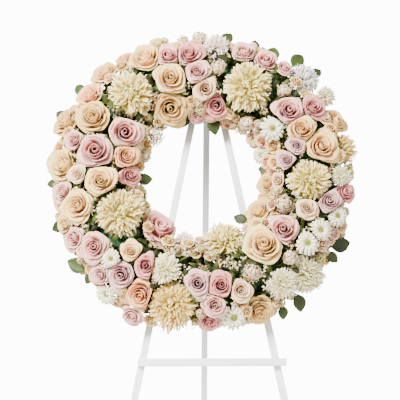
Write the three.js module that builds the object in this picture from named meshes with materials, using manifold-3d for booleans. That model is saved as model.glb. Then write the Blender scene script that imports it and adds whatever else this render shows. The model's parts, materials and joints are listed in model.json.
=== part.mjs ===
// A funeral wreath on a white wooden floor easel.
// Roses, chrysanthemums, baby's breath and leafy runners are pushed into a ring of floral foam.
// The foam sits in a channelled tray, and a wire hangs the tray from a hook on the easel's head.
// Millimetres, +Z up, the front faces -Y, and the origin is on the floor under the middle.
import * as THREE from "three";
import { mergeVertices } from "three/addons/utils/BufferGeometryUtils.js";
import Module from "manifold-3d";

const RAD = Math.PI / 180;

// ---- driving dimensions --------------------------------------------------------------------
const GAP = 0.3; // between pieces that touch
const LEAN = 12 * RAD; // the front frame leans back from the vertical
const CENTRE_HEIGHT = 890; // of the ring's middle, above the floor
const EASEL_SHIFT = 15; // the easel's middle lies this far right of the ring's

const LATH = 16; // square section of the legs
const LEG_SPLAY = 11.5 * RAD; // of each front leg, from the frame's middle line
const APEX_UP = 343; // where the front legs' middle lines would meet, above the ring's middle
const LEG_TOP_UP = 300; // the front legs are cut off here
const BAR_UP = -424; // crossbar, below the ring's middle
const BAR_LENGTH = 343;
const BAR_HEIGHT = 17;
const BAR_DEPTH = 20;
const BAR_SHIFT = 6; // the crossbar stands out further at its right end
const HEAD_BOTTOM_UP = 214;
const HEAD_TOP_UP = 334;
const HEAD_THICK = 18;
const REAR_LEAN = 18 * RAD; // rear leg from the vertical, opened
const PIVOT_UP = 290;
const PIVOT_BACK = 10; // from the back of the head block to the hinge pin's middle
const PIN_R = 3;
const EAR_THICK = 10;
const EAR_CLEAR = 0.6; // between the rear leg and each ear

const MEAN_R = 247; // middle line of the foam ring
const FOAM_HALF = 46; // half of the foam's radial width
const FOAM_FRONT = 68;
const TRAY_WALL = 3;
const TRAY_RIM = 14;
const CORE_Z = 34; // stems point at this height inside the foam
const BOUQUET_HALF = 108; // the flowers' reach sideways from the middle line
const BOUQUET_DEEP = 104; // and forwards from the core
const OUTLINE_LIFT = 10; // the depth of the outer flowers lifts the ring's seen middle by this
const RING_STEPS = 32;
const STEM_END = 17; // stems stop this far from the foam's core line
const STEM_SIDES = 4;

// ---- solids --------------------------------------------------------------------------------
const wasm = await Module();
wasm.setup();

/** A closed geometry as a solid that can be joined and cut. */
function solidOf(geometry) {
  const bare = geometry.clone();
  bare.deleteAttribute("normal");
  bare.deleteAttribute("uv");
  const merged = mergeVertices(bare, 1e-4);
  return new wasm.Manifold(
    new wasm.Mesh({
      numProp: 3,
      vertProperties: merged.attributes.position.array,
      triVerts: new Uint32Array(merged.index.array),
    }),
  );
}

/** A solid as a geometry with flat faces. */
function geometryOf(solid) {
  const mesh = solid.getMesh();
  const geometry = new THREE.BufferGeometry();
  const places = new Float32Array(mesh.numVert * 3);
  for (let i = 0; i < mesh.numVert; i += 1) {
    for (let k = 0; k < 3; k += 1) {
      places[3 * i + k] = mesh.vertProperties[mesh.numProp * i + k];
    }
  }
  geometry.setAttribute("position", new THREE.BufferAttribute(places, 3));
  geometry.setIndex(new THREE.BufferAttribute(new Uint32Array(mesh.triVerts), 1));
  const flat = geometry.toNonIndexed();
  flat.computeVertexNormals();
  return flat;
}

const joined = (solids) => solids.reduce((sum, solid) => sum.add(solid));

/** A box from its size and middle. */
function boxAt(size, middle) {
  return new THREE.BoxGeometry(...size).translate(...middle);
}

/** A round bar along X, Y or Z, centred on a point. */
function barAt(axis, radius, length, middle, sides = 16) {
  const bar = new THREE.CylinderGeometry(radius, radius, length, sides);
  if (axis === "x") bar.rotateZ(90 * RAD);
  if (axis === "z") bar.rotateX(90 * RAD);
  return bar.translate(...middle);
}

/** A round wire or stem of a given number of sides along a curve. */
function tubeAlong(curve, radius, steps, sides = STEM_SIDES) {
  const ring = new THREE.Shape();
  for (let i = 0; i < sides; i += 1) {
    const turn = (i / sides) * 2 * Math.PI;
    const corner = [radius * Math.cos(turn), radius * Math.sin(turn)];
    if (i === 0) ring.moveTo(...corner);
    else ring.lineTo(...corner);
  }
  ring.closePath();
  return new THREE.ExtrudeGeometry(ring, { steps, extrudePath: curve, bevelEnabled: false });
}

/** A closed ring about Z from its half-section, given as radius and height pairs. */
function ringAbout(section) {
  const profile = [...section, section[0]].map(([r, z]) => new THREE.Vector2(r, z));
  return new THREE.LatheGeometry(profile, RING_STEPS).rotateX(90 * RAD);
}

const point = (x, y, z) => new THREE.Vector3(x, y, z);

// ---- the scene graph -----------------------------------------------------------------------
const wreath = new THREE.Group();
const frontFrame = new THREE.Group(); // x right, y up the leaning frame, z towards the viewer
frontFrame.rotation.x = 90 * RAD - LEAN;
frontFrame.position.z = CENTRE_HEIGHT;
wreath.add(frontFrame);
const easel = new THREE.Group();
easel.position.x = EASEL_SHIFT;
frontFrame.add(easel);

const paint = { color: 0xf2f2f0, roughness: 0.5, metalness: 0 };
const zinc = { color: 0xb9bcc0, roughness: 0.4, metalness: 0.9 };

function addPiece(parent, name, geometry, look) {
  const mesh = new THREE.Mesh(geometry, new THREE.MeshStandardMaterial(look));
  mesh.name = name;
  parent.add(mesh);
  return mesh;
}

// ---- the easel -----------------------------------------------------------------------------
/** Height on the frame, at depth z, that lies on the floor. */
const floorUp = (z) => (-CENTRE_HEIGHT - z * Math.sin(LEAN)) / Math.cos(LEAN);

/** Sideways distance of a front leg's middle line from the frame's middle. */
const legOffset = (up) => (APEX_UP - up) * Math.tan(LEG_SPLAY);

const SCREW_R = 2;
const SCREW_HEAD_R = 4;
const SCREW_BITE = 12; // into the crossbar
const SCREW_HEAD = 3; // height of its head
const HOLE_SIDES = 10;
const PIN_SIDES = 12;
// corners of a lath, numbered by depth, then height, then edge: two triangles to a face
const BOX_FACES = [
  [0, 2, 1, 1, 2, 3],
  [4, 5, 6, 5, 7, 6],
  [0, 1, 4, 1, 5, 4],
  [2, 6, 3, 3, 6, 7],
  [0, 4, 2, 2, 4, 6],
  [1, 3, 5, 3, 7, 5],
];

/** A front leg: a lath whose foot is cut level with the floor and whose top is cut square. */
function frontLeg(side) {
  const half = LATH / 2 / Math.cos(LEG_SPLAY);
  const corners = [];
  for (const z of [-LATH, 0]) {
    for (const up of [floorUp(z), LEG_TOP_UP]) {
      for (const edge of [-half, half]) {
        corners.push(side * legOffset(up) + edge, up, z);
      }
    }
  }
  const leg = new THREE.BufferGeometry();
  leg.setAttribute("position", new THREE.BufferAttribute(new Float32Array(corners), 3));
  leg.setIndex(BOX_FACES.flat());
  const crossing = [side * legOffset(BAR_UP), BAR_UP, -LATH / 2];
  const hole = barAt("z", SCREW_R + GAP, 2 * LATH, crossing, HOLE_SIDES);
  return geometryOf(solidOf(leg).subtract(solidOf(hole)));
}

/** The crossbar lies on the front of the legs, with a blind hole behind for each screw. */
function crossbar() {
  const middle = [BAR_SHIFT, BAR_UP, GAP + BAR_DEPTH / 2];
  let bar = solidOf(boxAt([BAR_LENGTH, BAR_HEIGHT, BAR_DEPTH], middle));
  for (const side of [-1, 1]) {
    const depth = 2 * (SCREW_BITE + GAP);
    const mouth = [side * legOffset(BAR_UP), BAR_UP, GAP];
    bar = bar.subtract(solidOf(barAt("z", SCREW_R + GAP, depth, mouth, HOLE_SIDES)));
  }
  return geometryOf(bar);
}

/** A pan-head screw, from the back of the leg into the crossbar. */
function crossbarScrew(side) {
  const tip = SCREW_BITE - GAP;
  const head = -LATH - GAP;
  const outline = [
    [0, head - SCREW_HEAD],
    [SCREW_HEAD_R * 0.7, head - SCREW_HEAD],
    [SCREW_HEAD_R, head - SCREW_HEAD / 2],
    [SCREW_HEAD_R, head],
    [SCREW_R, head],
    [SCREW_R, tip - SCREW_HEAD],
    [0, tip],
  ].map(([r, z]) => new THREE.Vector2(r, z));
  const screw = new THREE.LatheGeometry(outline, PIN_SIDES).rotateX(90 * RAD);
  return screw.translate(side * legOffset(BAR_UP), BAR_UP, 0);
}

const HEAD_BACK = -LATH - GAP - HEAD_THICK;
const PIVOT = [0, PIVOT_UP, HEAD_BACK - PIVOT_BACK];
const EAR_IN = LATH / 2 + EAR_CLEAR;
const PIN_HEAD_R = 6;
const PIN_HEAD = 3; // height of its head
const PIN_RIVET_R = 5.5; // the pin's other end is hammered wide
const PIN_RIVET = 2;
const EAR_R = 13; // round end of an ear
const EAR_ROOT = 22; // half height of an ear where it meets the block
const HEAD_LOW_HALF = 34; // half widths of the head block
const HEAD_TOP_HALF = 20;
const HEAD_ROUND = 6; // of its top corners
const HOOK_UP = 319;
const HOOK_R = 2.2;
const HOOK_BITE = 12;
const HOOK_OUT = 12; // straight part of the hook
const HOOK_RISE = 11;
const HOOK_SIDES = 8;

/** The head block ties the legs' tops together and carries two ears for the rear leg. */
function headBlock() {
  const outline = new THREE.Shape();
  const shoulder = HEAD_TOP_UP - HEAD_ROUND;
  const flat = HEAD_TOP_HALF - HEAD_ROUND;
  outline.moveTo(-HEAD_LOW_HALF, HEAD_BOTTOM_UP);
  outline.lineTo(HEAD_LOW_HALF, HEAD_BOTTOM_UP);
  outline.lineTo(HEAD_TOP_HALF, shoulder);
  outline.quadraticCurveTo(HEAD_TOP_HALF - 1, HEAD_TOP_UP, flat, HEAD_TOP_UP);
  outline.lineTo(-flat, HEAD_TOP_UP);
  outline.quadraticCurveTo(1 - HEAD_TOP_HALF, HEAD_TOP_UP, -HEAD_TOP_HALF, shoulder);
  outline.closePath();
  const slab = { depth: HEAD_THICK, bevelEnabled: false, curveSegments: 3 };
  const pieces = [solidOf(new THREE.ExtrudeGeometry(outline, slab).translate(0, 0, HEAD_BACK))];
  const ear = new THREE.Shape();
  ear.moveTo(HEAD_BACK + 1, PIVOT_UP - EAR_ROOT);
  ear.lineTo(HEAD_BACK - PIVOT_BACK, PIVOT_UP - EAR_R);
  ear.absarc(HEAD_BACK - PIVOT_BACK, PIVOT_UP, EAR_R, -90 * RAD, 90 * RAD, true);
  ear.lineTo(HEAD_BACK + 1, PIVOT_UP + EAR_ROOT);
  ear.closePath();
  for (const side of [-1, 1]) {
    const plate = new THREE.ExtrudeGeometry(ear, {
      depth: EAR_THICK,
      bevelEnabled: false,
      curveSegments: 8,
    });
    plate.translate(0, 0, -EAR_THICK / 2).rotateY(-90 * RAD);
    pieces.push(solidOf(plate.translate(side * (EAR_IN + EAR_THICK / 2), 0, 0)));
  }
  const pinHole = barAt("x", PIN_R + GAP, 4 * LATH, PIVOT, PIN_SIDES);
  const hookDepth = 2 * (HOOK_BITE + GAP);
  const hookHole = barAt("z", HOOK_R + GAP, hookDepth, [0, HOOK_UP, -LATH - GAP], HOOK_SIDES);
  return geometryOf(joined(pieces).subtract(solidOf(pinHole)).subtract(solidOf(hookHole)));
}

/** The hinge pin: a rod with a low head at each end. */
function hingePin() {
  const out = EAR_IN + EAR_THICK + GAP;
  const outline = [
    [0, -out - PIN_HEAD],
    [PIN_HEAD_R - 1, -out - PIN_HEAD],
    [PIN_HEAD_R, -out - PIN_HEAD / 2],
    [PIN_HEAD_R, -out],
    [PIN_R, -out],
    [PIN_R, out],
    [PIN_RIVET_R, out],
    [PIN_RIVET_R - 0.5, out + PIN_RIVET],
    [0, out + PIN_RIVET],
  ].map(([r, x]) => new THREE.Vector2(r, x));
  return new THREE.LatheGeometry(outline, PIN_SIDES).rotateZ(-90 * RAD).translate(...PIVOT);
}

/** The cup hook in the head block's face. */
function headHook() {
  const face = -LATH - GAP;
  const path = new THREE.CatmullRomCurve3([
    point(0, HOOK_UP, face - HOOK_BITE),
    point(0, HOOK_UP, face),
    point(0, HOOK_UP, face + HOOK_OUT),
    point(0, HOOK_UP + 3, face + HOOK_OUT + 6),
    point(0, HOOK_UP + HOOK_RISE, face + HOOK_OUT + 8),
  ]);
  return tubeAlong(path, HOOK_R, 9, HOOK_SIDES);
}

/** The rear leg, in a frame at the pin with z up the leg and y towards its back. */
function rearLeg(footDrop) {
  const half = LATH / 2;
  const slope = Math.tan(REAR_LEAN);
  const bevel = LEAN + REAR_LEAN; // the open leg's top bears flat on the head block
  const reach = PIVOT_BACK - GAP;
  const bevelStart = (reach - half * Math.cos(bevel)) / Math.sin(bevel);
  const bevelIn = (reach - EAR_R * Math.sin(bevel)) / Math.cos(bevel);
  const outline = new THREE.Shape();
  outline.moveTo(-half, -footDrop + half * slope);
  outline.lineTo(-half, bevelStart);
  outline.lineTo(-bevelIn, EAR_R);
  outline.lineTo(half, EAR_R);
  outline.lineTo(half, -footDrop - half * slope);
  outline.closePath();
  const lath = new THREE.ExtrudeGeometry(outline, { depth: LATH, bevelEnabled: false });
  // the outline's x becomes y, its y becomes z, and the lath's width lies along x
  const turn = new THREE.Matrix4().makeBasis(point(0, 1, 0), point(0, 0, 1), point(1, 0, 0));
  lath.translate(0, 0, -half).applyMatrix4(turn);
  const pinHole = barAt("x", PIN_R + GAP, 2 * LATH, [0, 0, 0], PIN_SIDES);
  return geometryOf(solidOf(lath).subtract(solidOf(pinHole)));
}

addPiece(easel, "front_leg_left", frontLeg(-1), paint);
addPiece(easel, "front_leg_right", frontLeg(1), paint);
addPiece(easel, "crossbar", crossbar(), paint);
addPiece(easel, "crossbar_screw_left", crossbarScrew(-1), zinc);
addPiece(easel, "crossbar_screw_right", crossbarScrew(1), zinc);
addPiece(easel, "head_block", headBlock(), paint);
addPiece(easel, "hinge_pin", hingePin(), zinc);
addPiece(easel, "head_hook", headHook(), zinc);

wreath.updateMatrixWorld(true);
const pivotPlace = easel.localToWorld(point(...PIVOT));
const hinge = new THREE.Group();
hinge.position.copy(pivotPlace);
hinge.rotation.x = REAR_LEAN;
wreath.add(hinge);
addPiece(hinge, "rear_leg", rearLeg(pivotPlace.z / Math.cos(REAR_LEAN)), paint);

// ---- tray, foam and hanger -----------------------------------------------------------------
const TRAY_IN = MEAN_R - FOAM_HALF - TRAY_WALL - 1;
const TRAY_OUT = MEAN_R + FOAM_HALF + TRAY_WALL + 1;
const LUG_ANGLE = 6 * RAD; // each side of the top
const LUG_R = TRAY_OUT + 6; // radius of the lug holes
const LUG_HOLE_R = 2.4;
const LUG_WIDTH = 12;
const LUG_HEIGHT = 15;
const WIRE_R = 1.25;
const FOAM_SIDE = 42; // the foam's sides are upright to here
const FOAM_SHOULDER = 59; // and its corner is cut off from here to the front
const SHOULDER_IN = 9;
const FRONT_IN = 27;

/** A lug hole's middle. */
function lugPlace(side) {
  return [side * LUG_R * Math.sin(LUG_ANGLE), LUG_R * Math.cos(LUG_ANGLE), TRAY_RIM - 2];
}

/** The tray: a shallow channel with two lugs at the top. */
function tray() {
  const floor = GAP + TRAY_WALL;
  let solid = solidOf(
    ringAbout([
      [TRAY_IN, TRAY_RIM],
      [TRAY_IN, GAP],
      [TRAY_OUT, GAP],
      [TRAY_OUT, TRAY_RIM],
      [TRAY_OUT - TRAY_WALL, TRAY_RIM],
      [TRAY_OUT - TRAY_WALL, floor],
      [TRAY_IN + TRAY_WALL, floor],
      [TRAY_IN + TRAY_WALL, TRAY_RIM],
    ]),
  );
  for (const side of [-1, 1]) {
    const [x, up, z] = lugPlace(side);
    const lug = boxAt([LUG_WIDTH, LUG_HEIGHT, TRAY_WALL], [x, up - LUG_HOLE_R, z]);
    solid = solid.add(solidOf(lug));
    solid = solid.subtract(solidOf(barAt("z", LUG_HOLE_R, LUG_WIDTH, [x, up, z], HOOK_SIDES)));
  }
  return geometryOf(solid);
}

/** The foam ring, flat behind and rounded in front, or the room it takes with a gap round it. */
function foam(gap) {
  const low = 2 * GAP + TRAY_WALL - gap;
  const half = FOAM_HALF + gap;
  return solidOf(
    ringAbout([
      [MEAN_R - half, FOAM_SIDE],
      [MEAN_R - half, low],
      [MEAN_R + half, low],
      [MEAN_R + half, FOAM_SIDE],
      [MEAN_R + half - SHOULDER_IN, FOAM_SHOULDER + gap],
      [MEAN_R + half - FRONT_IN, FOAM_FRONT + gap],
      [MEAN_R - half + FRONT_IN, FOAM_FRONT + gap],
      [MEAN_R - half + SHOULDER_IN, FOAM_SHOULDER + gap],
    ]),
  );
}

/** The hanger wire: up through each lug and over the hook. */
function hangerWire() {
  const over = [EASEL_SHIFT, HOOK_UP + HOOK_R + WIRE_R + GAP, -8];
  const left = lugPlace(-1);
  const right = lugPlace(1);
  const route = [];
  route.push(point(left[0], left[1], left[2] - 8));
  route.push(point(left[0], left[1], left[2]));
  route.push(point(left[0], left[1], left[2] + 6));
  route.push(point(left[0] + 8, left[1] + 6, left[2] + 6));
  route.push(point(over[0] - 14, over[1] - 5, over[2] + 7));
  route.push(point(...over));
  route.push(point(over[0] + 8, over[1] - 5, over[2] + 7));
  route.push(point(right[0] - 2, right[1] + 6, right[2] + 6));
  route.push(point(right[0], right[1], right[2] + 6));
  route.push(point(right[0], right[1], right[2]));
  route.push(point(right[0], right[1], right[2] - 8));
  return tubeAlong(new THREE.CatmullRomCurve3(route), WIRE_R, 24, 6);
}

addPiece(frontFrame, "backing_tray", tray(), { color: 0x2e4a32, roughness: 0.6, metalness: 0 });
addPiece(frontFrame, "hanger_wire", hangerWire(), zinc);

// ---- what grows: shapes --------------------------------------------------------------------
// A bloom is a closed shell of rings about its facing axis. Each ring has an angle from the
// facing direction and a share of the bloom's radius; every second spoke falls back by
// `relief`, and `twist` turns each ring by half a spoke, so that petals alternate.
const BLOOMS = {
  rose: {
    rings: [[0, 0.6], [36, 0.78], [60, 1], [88, 0.94], [122, 0.72], [180, 0.58]],
    sides: 10,
    relief: 0.06,
    twist: 0.5,
    front: 0.62,
  },
  spray_rose: {
    rings: [[0, 0.66], [42, 0.84], [72, 1], [112, 0.84], [180, 0.68]],
    sides: 8,
    relief: 0.07,
    twist: 0.5,
    front: 0.68,
  },
  mum: {
    rings: [[0, 0.74], [27, 0.84], [53, 1], [80, 1.02], [112, 0.76], [180, 0.46]],
    sides: 12,
    relief: 0.09,
    twist: 0.5,
    front: 0.76,
  },
  button_mum: {
    rings: [[0, 0.42], [50, 0.62], [78, 1.02], [104, 0.72], [180, 0.4]],
    sides: 10,
    relief: 0.14,
    twist: 0,
    front: 0.46,
  },
  puff: {
    rings: [[0, 0.9], [55, 1], [110, 0.86], [180, 0.8]],
    sides: 7,
    relief: 0.12,
    twist: 0.5,
    front: 0.9,
  },
};
const LEAF_OUTLINE = [[1, 0], [0.62, 0.36], [0.1, 0.5], [-0.55, 0.34], [-1, 0]];
const LEAF_THICK = 2;
const LEAF_BOW = 0.12; // how far a leaf's ends bend back, as a share of its half length
const LEAF_ROOM = 0.26; // the room a leaf takes among the blooms, as a share of its length

/** A bloom's corners about its own middle, facing +Z. */
function bloomShell(kind, radius) {
  const { rings, sides, relief, twist } = BLOOMS[kind];
  const shell = [];
  for (const [index, [angle, share]] of rings.entries()) {
    const pole = index === 0 || index === rings.length - 1;
    for (let i = 0; i < (pole ? 1 : sides); i += 1) {
      const around = ((i + twist * index) / sides) * 2 * Math.PI;
      const reach = radius * share * (i % 2 === 0 || pole ? 1 : 1 - relief);
      const aside = reach * Math.sin(angle * RAD);
      const ahead = reach * Math.cos(angle * RAD);
      shell.push(point(aside * Math.cos(around), aside * Math.sin(around), ahead));
    }
  }
  return shell;
}

/** The triangles of a shell with two poles and `rows` rings of `sides` corners between them. */
function shellFaces(rows, sides) {
  const faces = [];
  const last = 1 + rows * sides;
  for (let i = 0; i < sides; i += 1) {
    const next = (i + 1) % sides;
    faces.push(0, 1 + i, 1 + next);
    for (let row = 0; row < rows - 1; row += 1) {
      const upper = 1 + row * sides;
      const lower = upper + sides;
      faces.push(upper + i, lower + i, upper + next);
      faces.push(upper + next, lower + i, lower + next);
    }
    const rim = 1 + (rows - 1) * sides;
    faces.push(last, rim + next, rim + i);
  }
  return faces;
}

/** A leaf's corners about its own middle: its tip towards +X, its face towards +Z. */
function leafShell(length) {
  const below = LEAF_OUTLINE.slice(1, -1).reverse().map(([along, across]) => [along, -across]);
  const half = length / 2;
  const rim = [...LEAF_OUTLINE, ...below].map(([along, across]) => {
    return point(along * half, across * half, -LEAF_BOW * half * along ** 2);
  });
  return [point(0, 0, LEAF_THICK / 2), ...rim, point(0, 0, -LEAF_THICK / 2 - LEAF_BOW * half)];
}

// ---- what grows: the planting plan ---------------------------------------------------------
// A bloom's place is [right, up, radius, out]: millimetres from the middle of the ring as it is
// seen from the front, the bloom's radius, and how far it stands out of its neighbours' level.
const PLANTS = [
  ["football_mum_01", "mum", [[-165, 195, 57]]],
  ["football_mum_02", "mum", [[105, 215, 62, 7]]],
  ["football_mum_03", "mum", [[-195, -80, 58, 6]]],
  ["football_mum_04", "mum", [[245, -5, 53]]],
  ["football_mum_05", "mum", [[230, -218, 48], [176, -236, 34]]],
  ["football_mum_06", "mum", [[-70, -281, 59, 16]]],
  ["football_mum_07", "mum", [[55, -152, 51]]],
  ["football_mum_08", "mum", [[322, 70, 40], [318, 5, 27]]],
  ["football_mum_09", "mum", [[240, 235, 43], [290, 196, 27]]],
  ["football_mum_10", "mum", [[-88, -208, 36], [-46, -150, 27]]],
  ["football_mum_11", "mum", [[33, 312, 32]]],
  ["cream_rose_01", "rose", [[-75, 235, 36]]],
  ["cream_rose_02", "rose", [[-133, 282, 36], [-104, 324, 20], [-184, 284, 20]]],
  ["cream_rose_03", "rose", [[-253, 140, 38], [-262, 194, 27]]],
  ["cream_rose_04", "rose", [[-235, -5, 34], [-180, 54, 26]]],
  ["cream_rose_05", "rose", [[-285, -62, 37], [-316, -104, 20]]],
  ["cream_rose_06", "rose", [[228, 115, 32], [310, 136, 31]]],
  ["cream_rose_07", "rose", [[272, 74, 37]]],
  ["cream_rose_08", "rose", [[138, -152, 43]]],
  ["cream_rose_09", "rose", [[136, -80, 32], [154, -12, 23]]],
  ["cream_rose_10", "rose", [[-140, -260, 34], [-164, -164, 20]]],
  ["cream_rose_11", "rose", [[125, -297, 28]]],
  ["cream_rose_12", "rose", [[-318, 30, 41]]],
  ["cream_rose_13", "rose", [[-78, 170, 39]]],
  ["cream_rose_14", "rose", [[-225, 248, 32], [-316, 134, 33]]],
  ["pink_spray_rose_01", "spray_rose", [[-80, 288, 26], [-32, 290, 28], [-14, 250, 26]]],
  ["pink_spray_rose_02", "spray_rose", [[32, 177, 28], [-12, 154, 16], [6, 212, 24]]],
  ["pink_spray_rose_03", "spray_rose", [[99, 298, 28], [148, 276, 28], [192, 262, 17]]],
  ["pink_spray_rose_04", "spray_rose", [
    [200, 158, 34],
    [256, 165, 26],
    [216, 78, 20],
    [193, 44, 19],
  ]],
  ["pink_spray_rose_05", "spray_rose", [[-248, 64, 38], [-182, 108, 34], [-170, 8, 22]]],
  ["pink_spray_rose_06", "spray_rose", [[-322, -30, 22], [-287, 10, 17], [-296, 88, 20]]],
  ["pink_spray_rose_07", "spray_rose", [[-244, -154, 30], [-294, -136, 24]]],
  ["pink_spray_rose_08", "spray_rose", [[-106, -122, 41], [-130, -196, 26]]],
  ["pink_spray_rose_09", "spray_rose", [[-185, -216, 30], [-231, -218, 22], [-160, -310, 22]]],
  ["pink_spray_rose_10", "spray_rose", [
    [-14, -236, 26],
    [38, -240, 26],
    [24, -282, 22],
    [12, -322, 20],
    [82, -250, 21],
  ]],
  ["pink_spray_rose_11", "spray_rose", [
    [182, -117, 34],
    [236, -68, 22],
    [287, -50, 27],
    [326, -30, 24],
  ]],
  ["button_mum_01", "button_mum", [[235, -145, 25], [266, -116, 23], [308, -84, 22]]],
  ["button_mum_02", "button_mum", [[163, 118, 26], [140, 58, 20]]],
  ["button_mum_03", "button_mum", [[-208, -180, 20], [-220, -262, 24]]],
  ["button_mum_04", "button_mum", [[69, -313, 27]]],
  ["babys_breath_01", "puff", [[-45, 330, 18, -6], [-6, 338, 20], [38, 262, 18, -6]]],
  ["babys_breath_02", "puff", [[-118, 105, 27], [-138, 58, 18]]],
  ["babys_breath_03", "puff", [[108, 134, 22], [190, 206, 15, -8]]],
  ["babys_breath_04", "puff", [[188, -58, 22, -4], [196, -178, 16, -8], [108, -212, 22, -6]]],
];

// Leafy runners lie behind the blooms along one rim of the tray, from one angle to another,
// counted from the right and turning left. A leaf is [right, up, length, pointing, out].
const RUNNERS = [
  ["leaf_runner_left", "outer", 140, 222, [
    [-292, 216, 38, 125, -14],
    [-334, 152, 40, 140, -14],
    [-352, -10, 30, 180, -14],
    [-334, -110, 42, 200, -14],
    [-292, -198, 52, 158, -14],
    [-262, -228, 34, 235, -14],
  ]],
  ["leaf_runner_top", "outer", 40, 80, [
    [62, 344, 42, 60, -14],
    [128, 326, 36, 80, -14],
    [172, 306, 46, 72, -12],
    [232, 290, 48, 52, -12],
    [276, 258, 36, 40, -14],
  ]],
  ["leaf_runner_bottom", "outer", -60, -24, [
    [322, -152, 52, 12, -10],
    [302, -182, 36, -35, -14],
    [222, -286, 44, -75, -12],
    [184, -308, 34, -85, -14],
  ]],
  ["leaf_runner_inner", "inner", -48, 196, [
    [87, -92, 36, 150, -10],
    [148, 24, 38, 172, -10],
    [124, 92, 28, 200, -10],
    [28, 126, 42, -80, -10],
    [-42, 138, 32, -110, -10],
    [-135, 0, 40, 10, -10],
    [-144, -38, 28, -60, -10],
  ]],
];

// ---- what grows: building ------------------------------------------------------------------
const SIN_LEAN = Math.sin(LEAN);
const COS_LEAN = Math.cos(LEAN);
const FULLNESS = 1.09; // petal tips reach past the round that the eye reads as a bloom's size
const FACE_FORWARD = 0.8; // how far a bloom on the ring's side still turns to its side

/** The core line's point nearest to a place, and the unit direction out of the ring's middle. */
function coreAt(place) {
  const outward = point(place.x, place.y, 0).normalize();
  return { outward, core: outward.clone().multiplyScalar(MEAN_R).setZ(CORE_Z) };
}

/** The middle and facing axis of a bloom that is seen at [right, up] from the front. */
function seat(right, up, front, out) {
  const middle = point(right, up, CORE_Z);
  for (let pass = 0; pass < 8; pass += 1) {
    middle.y = (up + OUTLINE_LIFT - middle.z * SIN_LEAN) / COS_LEAN;
    const aside = Math.hypot(middle.x, middle.y) - MEAN_R;
    const share = Math.min(0.97, Math.abs(aside) / (BOUQUET_HALF - front));
    middle.z = CORE_Z + (BOUQUET_DEEP - front) * Math.sqrt(1 - share * share) + out;
  }
  const { outward, core } = coreAt(middle);
  const aside = point(middle.x, middle.y, 0).dot(outward) - MEAN_R;
  const axis = outward.multiplyScalar(FACE_FORWARD * aside);
  axis.z = Math.max(6, middle.z - CORE_Z);
  return { middle, axis: axis.normalize(), core };
}

const blooms = [];
for (const [name, kind, places] of PLANTS) {
  for (const [right, up, size, out = 0] of places) {
    const radius = FULLNESS * size;
    blooms.push({ name, kind, radius, ...seat(right, up, BLOOMS[kind].front * radius, out) });
  }
}
for (const [name, , , , leaves] of RUNNERS) {
  for (const [right, up, length, pointing, out] of leaves) {
    const radius = LEAF_ROOM * length;
    blooms.push({ name, kind: "leaf", radius, length, pointing, ...seat(right, up, radius, out) });
  }
}

/** Keeps a bloom's corners on its own side of the plane between it and each neighbour. */
function pressed(bloom, corners) {
  for (const other of blooms) {
    if (other === bloom) continue;
    const apart = other.middle.clone().sub(bloom.middle);
    const distance = apart.length();
    if (distance > bloom.radius * 1.1 + other.radius * 1.1) continue;
    apart.divideScalar(distance);
    const share = (distance ** 2 + bloom.radius ** 2 - other.radius ** 2) / (2 * distance);
    for (const corner of corners) {
      const along = corner.dot(apart);
      if (along > share - GAP / 2) corner.multiplyScalar((share - GAP / 2) / along);
    }
  }
  return corners;
}

/** A solid from a shell of corners, turned, pressed by its neighbours and put in its place. */
function shellSolid(bloom, shell, turn, faces) {
  const turned = shell.map((corner) => corner.applyQuaternion(turn));
  const places = pressed(bloom, turned).map((corner) => corner.add(bloom.middle).toArray());
  const geometry = new THREE.BufferGeometry();
  geometry.setAttribute("position", new THREE.Float32BufferAttribute(places.flat(), 3));
  geometry.setIndex(faces);
  return solidOf(geometry);
}

function bloomSolid(bloom) {
  const { rings, sides } = BLOOMS[bloom.kind];
  const turn = new THREE.Quaternion().setFromUnitVectors(point(0, 0, 1), bloom.axis);
  const shell = bloomShell(bloom.kind, bloom.radius);
  return shellSolid(bloom, shell, turn, shellFaces(rings.length - 2, sides));
}

/** The direction from a leaf's base to its tip, square to the way it faces. */
function leafPointing(leaf) {
  const angle = leaf.pointing * RAD;
  const along = point(Math.cos(angle), Math.sin(angle), 0);
  return along.addScaledVector(leaf.axis, -along.dot(leaf.axis)).normalize();
}

function leafSolid(leaf) {
  const along = leafPointing(leaf);
  const across = leaf.axis.clone().cross(along);
  const basis = new THREE.Matrix4().makeBasis(along, across, leaf.axis);
  const turn = new THREE.Quaternion().setFromRotationMatrix(basis);
  const shell = leafShell(leaf.length);
  return shellSolid(leaf, shell, turn, shellFaces(1, shell.length - 2));
}

/** A stem from inside a bloom, or from where its branches meet, into the foam. */
function mainStem(from, core, radius) {
  const direction = from.clone().sub(core).normalize();
  const end = core.clone().addScaledVector(direction, STEM_END);
  return tubeAlong(new THREE.LineCurve3(from, end), radius, 1);
}

const STEM_R = { mum: 2.6, rose: 2.6, spray_rose: 2, button_mum: 1.8, puff: 1.5 };
// from the core line to where a spray's branches meet; each kind forks at a level of its own
const FORK_OUT = { mum: 57, rose: 57, spray_rose: 52, puff: 51, button_mum: 47 };
const FORK_BEND = 4; // a branch bends this far above the level of the fork
const FORK_OVER = 3; // the main stem runs on this far past the fork
const NECK = 0.2; // a stem ends inside its bloom, behind the middle, as a share of its radius

/** Where a stem ends inside its bloom. */
const neckOf = (head) => head.middle.clone().addScaledVector(head.axis, -NECK * head.radius);

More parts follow.
